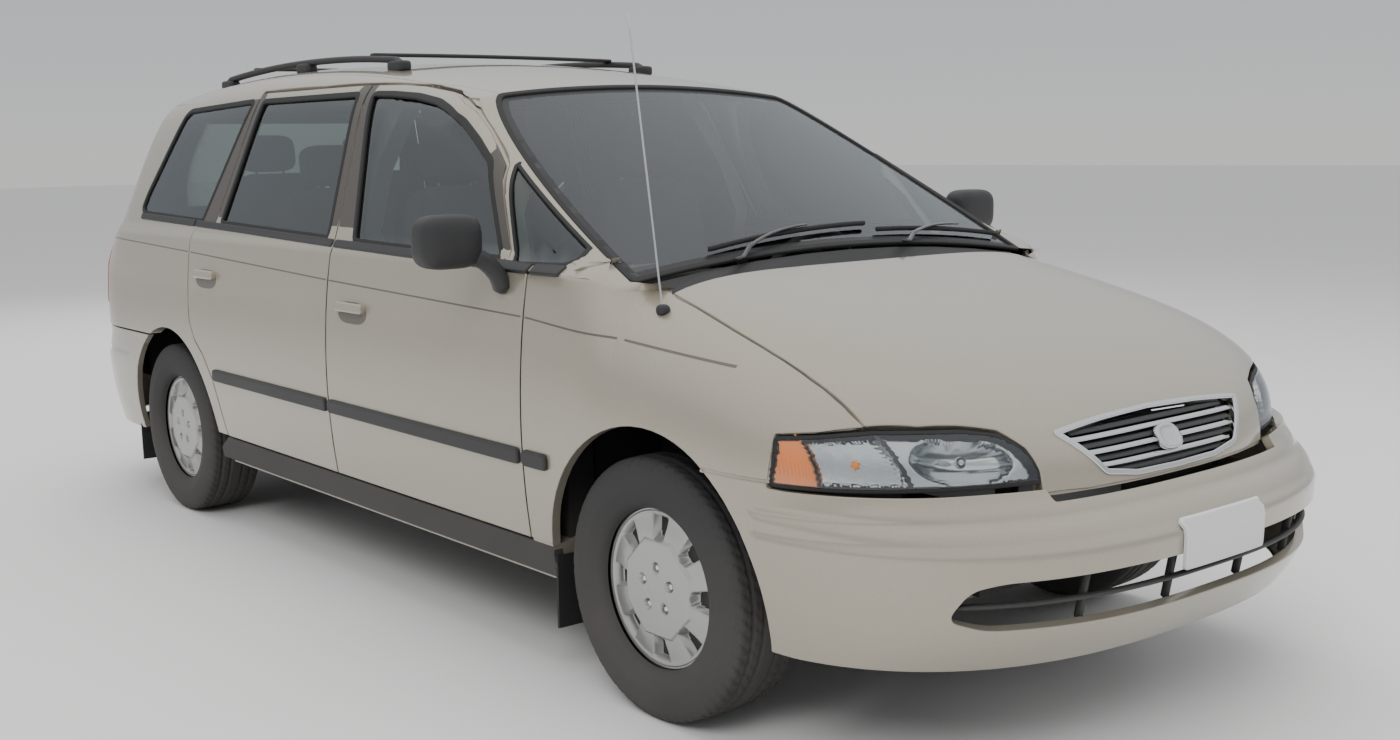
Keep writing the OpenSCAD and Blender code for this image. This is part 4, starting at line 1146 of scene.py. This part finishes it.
def cover_mesh():
    """Wheel cover with eight openings round an octagon, five wheel bolts, and the steel rim behind it."""
    na = 384
    r = np.concatenate([[0.0005], np.linspace(0.006, 0.088, 30), np.linspace(0.0905, RIM - 0.004, 40),
                        [RIM - 0.002, RIM, RIM + 0.003, RIM + 0.0055, RIM + 0.006]])
    a = np.linspace(0, 2 * math.pi, na, endpoint=False)
    rg, ag = np.meshgrid(r, a, indexing="ij")
    cell = (ag + math.pi / 8) % (math.pi / 4) - math.pi / 8
    h = FACE - 0.010 * (rg / RIM) ** 2
    octo = rg * np.cos(cell) / (0.60 * RIM)
    h = h - 0.006 * sm((octo - 0.985) / 0.03)
    h = h - 0.003 * sm((octo - 1.03) / 0.4)
    wide = 0.0195 + (rg - 0.63 * RIM) / (0.30 * RIM) * 0.0105
    inner = np.sqrt(np.maximum(1 - (cell * rg / 0.022) ** 2, 0)) * 0.010
    d = np.minimum(np.minimum(wide - np.abs(cell * rg), 0.925 * RIM - rg), rg - 0.665 * RIM + inner)
    hole = sm(d / 0.0028)
    h = h - 0.026 * hole
    dark = d > 0.0024
    lug = (ag - math.pi / 2 + math.pi / 5) % (2 * math.pi / 5) - math.pi / 5
    dl = np.sqrt((rg * np.cos(lug) - 0.27 * RIM) ** 2 + (rg * np.sin(lug)) ** 2)
    well = sm((0.0135 - dl) / 0.0022)
    nut = sm((0.0088 - dl) / 0.002)
    h = h - 0.015 * well + 0.010 * nut
    bright = dl < 0.0085
    h = h - 0.0016 * np.exp(-((rg - 0.16 * RIM) / 0.0016) ** 2)
    h = h + 0.0035 * np.exp(-((rg - 0.965 * RIM) / 0.004) ** 2)
    h = np.where(rg > RIM - 0.001, h + 0.004 - 2.2 * np.maximum(rg - RIM - 0.001, 0), h)
    v = np.stack([h, rg * np.cos(ag), rg * np.sin(ag)], -1).reshape(-1, 3)
    f = grid_faces(len(r), na, close_c=True)
    q = np.array(f)
    dk, br = dark.reshape(-1)[q].all(1), bright.reshape(-1)[q].all(1)
    f.append(tuple(range(na))[::-1])
    ix = np.append(np.where(dk, 1, np.where(br, 2, 0)), 0)
    back, bf = turned([(0.060, RIM + 0.006), (0.055, RIM - 0.002), (-0.060, RIM - 0.004), (-0.074, RIM + 0.004),
                       (-0.074, RIM - 0.004), (-0.052, RIM - 0.020), (0.012, RIM - 0.024), (0.028, 0.13), (0.030, 0.075),
                       (0.010, 0.070), (0.006, 0.026)], 96)
    ix = np.append(ix, np.ones(len(bf), int))
    bf = [tuple(k + len(v) for k in t) for t in bf]
    return np.vstack([v, back]), f + bf, ix


cv, cf, cix = cover_mesh()
for end, s in (("front", "left"), ("front", "right"), ("rear", "left"), ("rear", "right")):
    lo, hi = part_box(f"tyre_{end}_{s}")
    mid = np.array((lo + hi) / 2)
    k = np.array([1 if s == "left" else -1, 1, 1])
    tv, tf = tyre_mesh((hi.z - lo.z) / 2, (hi.x - lo.x) / 2)
    tv, wv = tv * k + mid, cv * k + mid
    faces = (tf, cf) if s == "left" else ([t[::-1] for t in fs] for fs in (tf, cf))
    tyre_faces, cover_faces = faces
    put(f"tyre_skin_{end}_{s}", tv, tyre_faces, tyre_rubber, f"{end}_{s}_wheel", slot="tyre",
        replaces=[f"tyre_{end}_{s}"])
    put(f"wheel_cover_{end}_{s}", wv, cover_faces, [satin, steel, chrome], f"{end}_{s}_wheel", index=cix,
        slot="wheel_silver", replaces=[f"wheel_{end}_{s}"])

# ---------------------------------------------------------------- lamps and grille

lamp_xz = [(0.425, 0.637), (0.427, 0.655), (0.444, 0.703), (0.486, 0.736), (0.560, 0.748), (0.640, 0.751),
           (0.728, 0.753), (0.80, 0.744)]
lamp_uz = [[nose_u(x, z), z] for x, z in lamp_xz]
lamp_uz += [[nose_u(0, z, y=-1.861), z] for z in (0.736, 0.70, 0.66, 0.637)]
lamp_uz += [[nose_u(x, 0.636), 0.636] for x in (0.80, 0.70, 0.60, 0.50)]
lamp_uz = curved(np.array(lamp_uz), 0.010, 4)
both("lamp_gasket", ring(nose, lamp_uz, 0.004, 0.004, 0.03, 0.012, 0.002, 0.03, 0.001), rubber, "body", slot="rubber")
both("lamp_lens", panel(nose, inset(lamp_uz, 0.003), [], 0.02, 0.01, 0.003, 0.004, 0.001), lens, "body",
     slot="lamp_clear")
u_in, u_out = lamp_uz[:, 0].min(), lamp_uz[:, 0].max()
u_split = nose_u(0.70, 0.69)
u_amber = u_out - (u_out - u_in) * 0.17
u_bowl = u_in + (u_split - u_in) * 0.52


def clip_u(poly, a, b, slant=0.0):
    """The part of a lamp's outline between two lines across it."""
    q = resample(poly, 0.004)
    ua, ub = a + slant * (q[:, 1] - 0.69), b + slant * (q[:, 1] - 0.69)
    q[:, 0] = np.clip(q[:, 0], ua, ub)
    keep = np.linalg.norm(q - np.roll(q, 1, 0), axis=1) > 1e-5
    return q[keep]


bowl_in = inset(lamp_uz, 0.005)


def lamp_bowl(q):
    """Reflector behind the lens: a deep dish in the main part, flutes in the turn part."""
    p, n = nose(q)
    d = np.hypot((q[:, 0] - u_bowl) / 0.115, (q[:, 1] - 0.693) / 0.052)
    depth = 0.020 + 0.052 * np.sqrt(np.maximum(1 - d**2, 0))
    depth = np.where(q[:, 0] < u_split + 0.004, depth, 0.028 + 0.004 * np.sin(q[:, 0] * 900))
    return p - n * depth[:, None], n


v, f, _ = panel(lamp_bowl, clip_u(bowl_in, -1, u_amber - 0.004), [], 0.006, 0.006, 0.0, 0.0)
both("lamp_bowl", (v, f, None), lamp_mirror, "body", slot="lamp_clear", replaces=["headlamps"])
both("lamp_amber", panel(nose, clip_u(bowl_in, u_amber, 9), [], 0.01, 0.006, 0.002, 0.012, 0.007), amber, "body",
     slot="lamp_red")
divider = clip_u(bowl_in, u_split - 0.005, u_split + 0.006, 0.25)
both("lamp_divider", panel(nose, divider, [], 0.01, 0.006, 0.001, 0.03, 0.003), gloss_black, "body",
     slot="trim_black")
for name, uu, zz, size, m in (("main_bulb", u_bowl, 0.694, 0.013, chrome),
                              ("turn_bulb", (u_split + u_amber) / 2, 0.69, 0.012, amber)):
    p, n = nose(np.array([[uu, zz]]))
    lump(name, m, "body", p[0] - n[0] * 0.035, (size, size, size), 1.0, nu=20, nv=14, mirror=True, slot="lamp_clear")

tail_uz = np.array([[quarter_u(2.034, 0.744), 0.744], [gate_u(0.744, 0.014), 0.744], [gate_u(0.88, 0.014), 0.88],
                    [gate_u(1.02, 0.014), 1.02], [quarter_u(2.034, 1.02), 1.02], [quarter_u(2.034, 0.88), 0.88]])
tail_uz = curved(tail_uz, 0.012, 4)
both("tail_lens", panel(quarter, tail_uz, [], 0.015, 0.01, 0.004, 0.02, -0.004), red, "body", slot="lamp_red",
     replaces=["tail_lamps"])
for k, (z0, z1, m) in enumerate(((0.905, 0.955, amber), (0.845, 0.885, plate_white))):
    block = [[quarter_u(2.06, z0), z0], [gate_u(z0, 0.03), z0], [gate_u(z1, 0.03), z1], [quarter_u(2.06, z1), z1]]
    both(f"tail_inset_{k}", panel(quarter, curved(block, 0.008, 3), [], 0.02, 0.01, 0.002, 0.006, -0.006), m,
         "body", slot="lamp_red")


single("grille_surround", ring(hood_tab, grille_edge, 0.004, 0.011, 0.02, 0.008, 0.004, 0.012, -0.006), chrome,
       "hood", slot="trim_black")
single("grille_back", panel(hood_tab, inset(grille_edge, 0.006), [], 0.02, 0.01, 0.002, 0.01, 0.016), gloss_black,
       "hood", slot="trim_black", replaces=["grille"])
slat_area = inset(grille_edge, 0.010)


def hood_pt(x, z, out=0.0):
    p, n = hood_tab(np.array([hood_xz(x, z)]))
    return p[0] + n[0] * out


for k, z in enumerate(np.linspace(0.640, 0.724, 7)):
    xs = [x for x in np.linspace(-0.345, 0.345, 90) if inside(np.array([hood_xz(x, z)]), slat_area)[0]]
    if len(xs) > 4:
        out, thick, m = (-0.006, 0.0065, chrome) if k % 2 else (-0.009, 0.005, black)
        tube(f"grille_slat_{k}", [hood_pt(x, z, out) for x in xs[::3]], 0.016, thick, m, "hood", 10,
             upward=(0, -0.5, 0.85))

# a plain rounded badge with a raised rim, square to the hood
(at,), (out,) = hood_tab(np.array([hood_xz(0.0, 0.680)]))
a = np.linspace(0, 2 * math.pi, 48, endpoint=False)
across, along = np.array([1.0, 0, 0]), np.cross(out, [1.0, 0, 0])
along = along * np.sign(along[2])
oval = (np.outer(np.sign(np.cos(a)) * np.abs(np.cos(a)) ** 0.75 * 0.043, across)
        + np.outer(np.sign(np.sin(a)) * np.abs(np.sin(a)) ** 0.75 * 0.031, along))
rows = [at + out * high + oval * e for e, high in (
    (1.0, -0.004), (1.0, 0.004), (0.96, 0.0065), (0.80, 0.0075), (0.72, 0.0062), (0.60, 0.0052), (0.3, 0.0055),
    (0.02, 0.0055))]
put("badge_blank", np.vstack(rows), grid_faces(len(rows), 48, close_c=True), chrome, "hood", slot="trim_black")

# ---------------------------------------------------------------- side trim


def strip(name, ends, low, high, body, m, sizes, round_off=0.015, slot="trim_black"):
    """A strip along the side between two heights, which are functions of y."""
    ys = np.linspace(*ends, max(3, int((ends[1] - ends[0]) / 0.05)))
    k = len(ys)
    out = np.vstack([np.stack([ys, low(ys)], 1), np.stack([ys[::-1], high(ys[::-1])], 1)])
    out = curved(out, [round_off if i in (0, k - 1, k, 2 * k - 1) else 0.0 for i in range(2 * k)], 5)
    both(name, panel(side, out, [], 0.03, 0.015, *sizes), m, body, slot=slot)


def belt(y):
    return np.interp(y, [-1.10, -0.95, -0.812, -0.025, 0.137, 0.957, 1.118, 1.70],
                     [1.046, 1.046, 1.050, 1.066, 1.069, 1.090, 1.094, 1.108])


def crease(y):
    return np.interp(y, [-1.695, -0.99, 0.087, 1.16, 1.901], [0.861, 0.919, 0.949, 0.986, 1.008])


FRONT, REAR = "front_*_door", "rear_*_door"
STRIPE = 0.0025  # half the width of the pinstripe
for k, (y0, y1, body) in enumerate(((-1.085, -0.979, "body"), (-0.965, 0.079, FRONT), (0.093, 0.950, REAR))):
    strip(f"side_moulding_{k}", (y0, y1), lambda y: 0.545 + 0 * y, lambda y: 0.587 + 0 * y, body, black,
          (0.007, 0.016, -0.013))
for k, (y0, y1, body) in enumerate(((-1.10, -0.979, "body"), (-0.965, 0.078, FRONT), (0.093, 1.160, REAR),
                                   (1.172, 1.70, "body"))):
    strip(f"belt_moulding_{k}", (y0, y1), lambda y: belt(y) - 0.022, lambda y: belt(y) + 0.002, body, black,
          (0.005, 0.010, -0.007), 0.008)
ys = np.linspace(-1.69, -0.981, 30)
thin = to_fender([(y, float(crease(y)) - STRIPE) for y in ys] + [(y, float(crease(y)) + STRIPE) for y in ys[::-1]])
both("pinstripe_0", panel(fender_tab, thin, [], 0.03, 0.02, 0.0003, 0.0004, -0.0018), stripe_and_shade, "body", slot="paint")
for k, (y0, y1, body) in enumerate(((-0.963, 0.077, FRONT), (0.095, 1.150, REAR), (1.174, 2.0, "body"))):
    strip(f"pinstripe_{k + 1}", (y0, y1), lambda y: crease(y) - STRIPE, lambda y: crease(y) + STRIPE, body, stripe_and_shade,
          (0.0004, 0.0005, -0.0016), 0.002, "paint")
for name, y, z, body in (("front", -0.082, 0.866, FRONT), ("rear", 0.998, 0.903, REAR)):
    th = np.linspace(0, 2 * math.pi, 40, endpoint=False)
    # the dark oval is painted shade: a flat sheet in the pinstripe colour where the handle's body-colour recess lies
    # in shadow
    recess_shade = np.stack([y + 0.088 * np.sign(np.cos(th)) * np.abs(np.cos(th)) ** 0.6, z - 0.004 + 0.033 * np.sin(th)], 1)
    both(f"{name}_handle_cup", panel(side, recess_shade, [], 0.012, 0.008, 0.0012, 0.003, -0.002), stripe_and_shade, body, slot="paint")
    bar = curved([[y - 0.080, z - 0.004], [y + 0.080, z - 0.004], [y + 0.080, z + 0.026], [y - 0.080, z + 0.026]],
                 0.012)
    both(f"{name}_handle", panel(side, bar, [], 0.012, 0.008, 0.007, 0.020, -0.021), paint, body, slot="paint")

# ---------------------------------------------------------------- mirrors, wipers, aerial, rack

v, f = soft_box((1.000, -0.838, 1.108), (0.088, 0.052, 0.068), 0.55, nu=64, nv=40)
v[:, 1] = np.minimum(v[:, 1], -0.806)
both("mirror_shell", (v, f, None), black, FRONT, slot="trim_black", replaces=["mirror_*"])
lump("mirror_pane", chrome, FRONT, (1.000, -0.806, 1.108), (0.076, 0.0025, 0.056), 0.5, nu=48, nv=24, mirror=True,
     slot="glass_clear")
foot = spline([(0.862, -0.872, 0.985), (0.874, -0.868, 1.02), (0.905, -0.858, 1.055), (0.950, -0.846, 1.075)], 16)
for s in ("left", "right"):
    tube(f"mirror_foot_{s}", foot, 0.062, 0.046, black, f"front_{s}_door", 18, flip=s == "right", p=2.6)

for k, (px, reach) in enumerate(((-0.46, 0.60), (0.16, 0.52))):
    xs = np.linspace(px, px + reach, 18)
    ys = -1.205 - 0.012 * ((xs / 0.6) ** 2) + 0.05 * (xs - px)
    blade = np.stack([xs, ys, sky_z(xs, ys) + 0.012], 1)
    tube(f"wiper_blade_{k}", blade, 0.012, 0.014, rubber, "body", 10)
    arm_x = np.linspace(px + 0.03, px + 0.36, 10)
    arm_y = np.linspace(-1.282, -1.19, 10) + 0.02 * np.sin(np.linspace(0, math.pi, 10))
    arm = np.stack([arm_x, arm_y, sky_z(arm_x, np.maximum(arm_y, -1.25)) + 0.026 - 0.02 * (arm_y < -1.26)], 1)
    tube(f"wiper_arm_{k}", arm, 0.016, 0.009, gloss_black, "body", 12, taper=0.7)

mast = np.array([(-0.752, -1.38, 0.958), (-0.752, -1.373, 1.00), (-0.748, -1.262, 1.64)])
tube("aerial_mast", spline(mast, 20), 0.005, 0.005, chrome, "body", 10, upward=(1, 0, 0))
lump("aerial_base", black, "body", (-0.752, -1.382, 0.958), (0.016, 0.016, 0.014), 0.8, nu=24, nv=14)

RACK_X = 0.492


def roof_at(y):
    """Height of the roof under the rack's rails."""
    return float(sky_z(np.array([RACK_X]), y)[0])


for s, k in (("left", 1), ("right", -1)):
    ys = np.concatenate([[0.225, 0.235], np.linspace(0.27, 1.53, 28), [1.565, 1.575]])
    rz = sky_z(np.full_like(ys, RACK_X), ys) + 0.031
    rz[[0, -1]] -= 0.026
    rz[[1, -2]] -= 0.012
    tube(f"rack_rail_{s}", np.stack([np.full_like(ys, RACK_X * k), ys, rz], 1), 0.030, 0.022, black, "body", 16,
         p=2.6, replaces=["roof_rack"] if k > 0 else ())
    for j, y in enumerate((0.25, 0.90, 1.55)):
        lump(f"rack_foot_{j}_{s}", black, "body", (RACK_X * k, y, roof_at(y) + 0.012), (0.021, 0.052, 0.018), 0.45,
             nu=32, nv=18)
for j, y in enumerate((0.43, 1.33)):
    xs = np.linspace(-0.485, 0.485, 21)
    zs = roof_at(y) + 0.044 + 0.004 * (1 - (xs / 0.49) ** 2)
    tube(f"rack_crossbar_{j}", np.stack([xs, np.full_like(xs, y), zs], 1), 0.042, 0.013, black, "body", 14, p=2.8)

# ---------------------------------------------------------------- plates, intake bars, cabin

plate = bumper_points(front_bumper, ((-0.153, 0.432), (0.153, 0.432), (0.153, 0.540), (-0.153, 0.540)))
single("front_plate", panel(skin_bumper(front_bumper), curved(plate, 0.008), [], 0.03, 0.015, 0.003, 0.010, -0.012),
       plate_white, "body", slot="trim_black")
plate = [[-0.155, 0.70], [0.155, 0.70], [0.155, 0.85], [-0.155, 0.85]]
single("rear_plate", panel(gate, curved(plate, 0.008), [], 0.03, 0.015, 0.003, 0.008, -0.010), plate_white,
       "tailgate", slot="trim_black")
grip = [[-0.26, 0.865], [0.26, 0.865], [0.24, 0.905], [-0.24, 0.905]]
single("tailgate_handle", panel(gate, curved(grip, 0.010), [], 0.03, 0.015, 0.006, 0.018, -0.022), paint, "tailgate",
       slot="paint")


def front_at(x, z):
    """Point of the front bumper's surface."""
    return skin_bumper(front_bumper)(np.array([bumper_pt(front_bumper, z, x=x)]))[0][0]


tube("intake_bar", np.array([front_at(x, 0.410) for x in np.linspace(-0.665, 0.665, 41)]) + [0, 0.024, 0], 0.020,
     0.012, black, "body", 10)
for k, x in enumerate((-0.40, -0.14, 0.14, 0.40)):
    tube(f"intake_strut_{k}", np.linspace(front_at(x, 0.36), front_at(x, 0.462), 6) + [0, 0.030, 0], 0.012, 0.020,
         black, "body", 10, upward=(0, 1, 0))

# each row of seats: the middles of its seats, front edge, height of the frame, half width, height of the back
for row, xs, y, z, w, back in (("front", (-0.37, 0.37), -0.48, 0.58, 0.250, 0.62),
                               ("middle", (-0.34, 0.34), 0.42, 0.58, 0.260, 0.60),
                               ("rear", (-0.236, 0.236), 1.18, 0.685, 0.232, 0.54)):
    cad_seat = row + ("_seat" if row == "rear" else "_seats")
    for k, x in enumerate(xs):
        # cushions: middle, half size, squareness, tilt, and the sewn channels as (axis, place, depth)
        for name, middle, size, e, tilt, dents in (
            ("base", (x, y + 0.235, z + 0.068), (w, 0.245, 0.066), 0.36, 0.0,
             ((0, -0.62, 0.05), (0, 0.62, 0.05), (1, -0.1, 0.03))),
            ("back", (x, y + 0.545, z + back / 2 + 0.04), (w - 0.012, 0.066, back / 2 - 0.02), 0.36, -0.19,
             ((0, -0.62, 0.06), (0, 0.62, 0.06), (2, -0.2, 0.04))),
            ("headrest", (x, y + 0.635, z + back + 0.10), (0.118, 0.036, 0.074), 0.5, -0.12, ((2, 0, 0.03),)),
        ):
            pad = lump(f"{row}_{name}_{k}", cloth, "body", middle, size, e, tilt, 56, 36, dents, slot="seat_cloth",
                       replaces=[cad_seat] if name == "base" and k == 0 else ())
        for j, dx in enumerate((-0.06, 0.06)):
            low, high = (x + dx, y + 0.60, z + back - 0.03), (x + dx, y + 0.63, z + back + 0.06)
            tube(f"{row}_post_{k}_{j}", np.linspace(low, high, 4), 0.011, 0.011, chrome, "body", 10,
                 upward=(0, 1, 0), slot="chassis_steel")
        lump(f"{row}_plinth_{k}", plastic, "body", (x, y + 0.23, z - 0.105), (w - 0.06, 0.17, 0.11), 0.25, nu=40,
             nv=20, slot="interior_plastic")
for name, width in (("dashboard", 0.035), ("engine", 0.02), ("fuel_tank", 0.03)):
    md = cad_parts[name].modifiers.new("rounding", "BEVEL")
    md.width, md.segments, md.limit_method = width, 4, "ANGLE"
    md.harden_normals = False
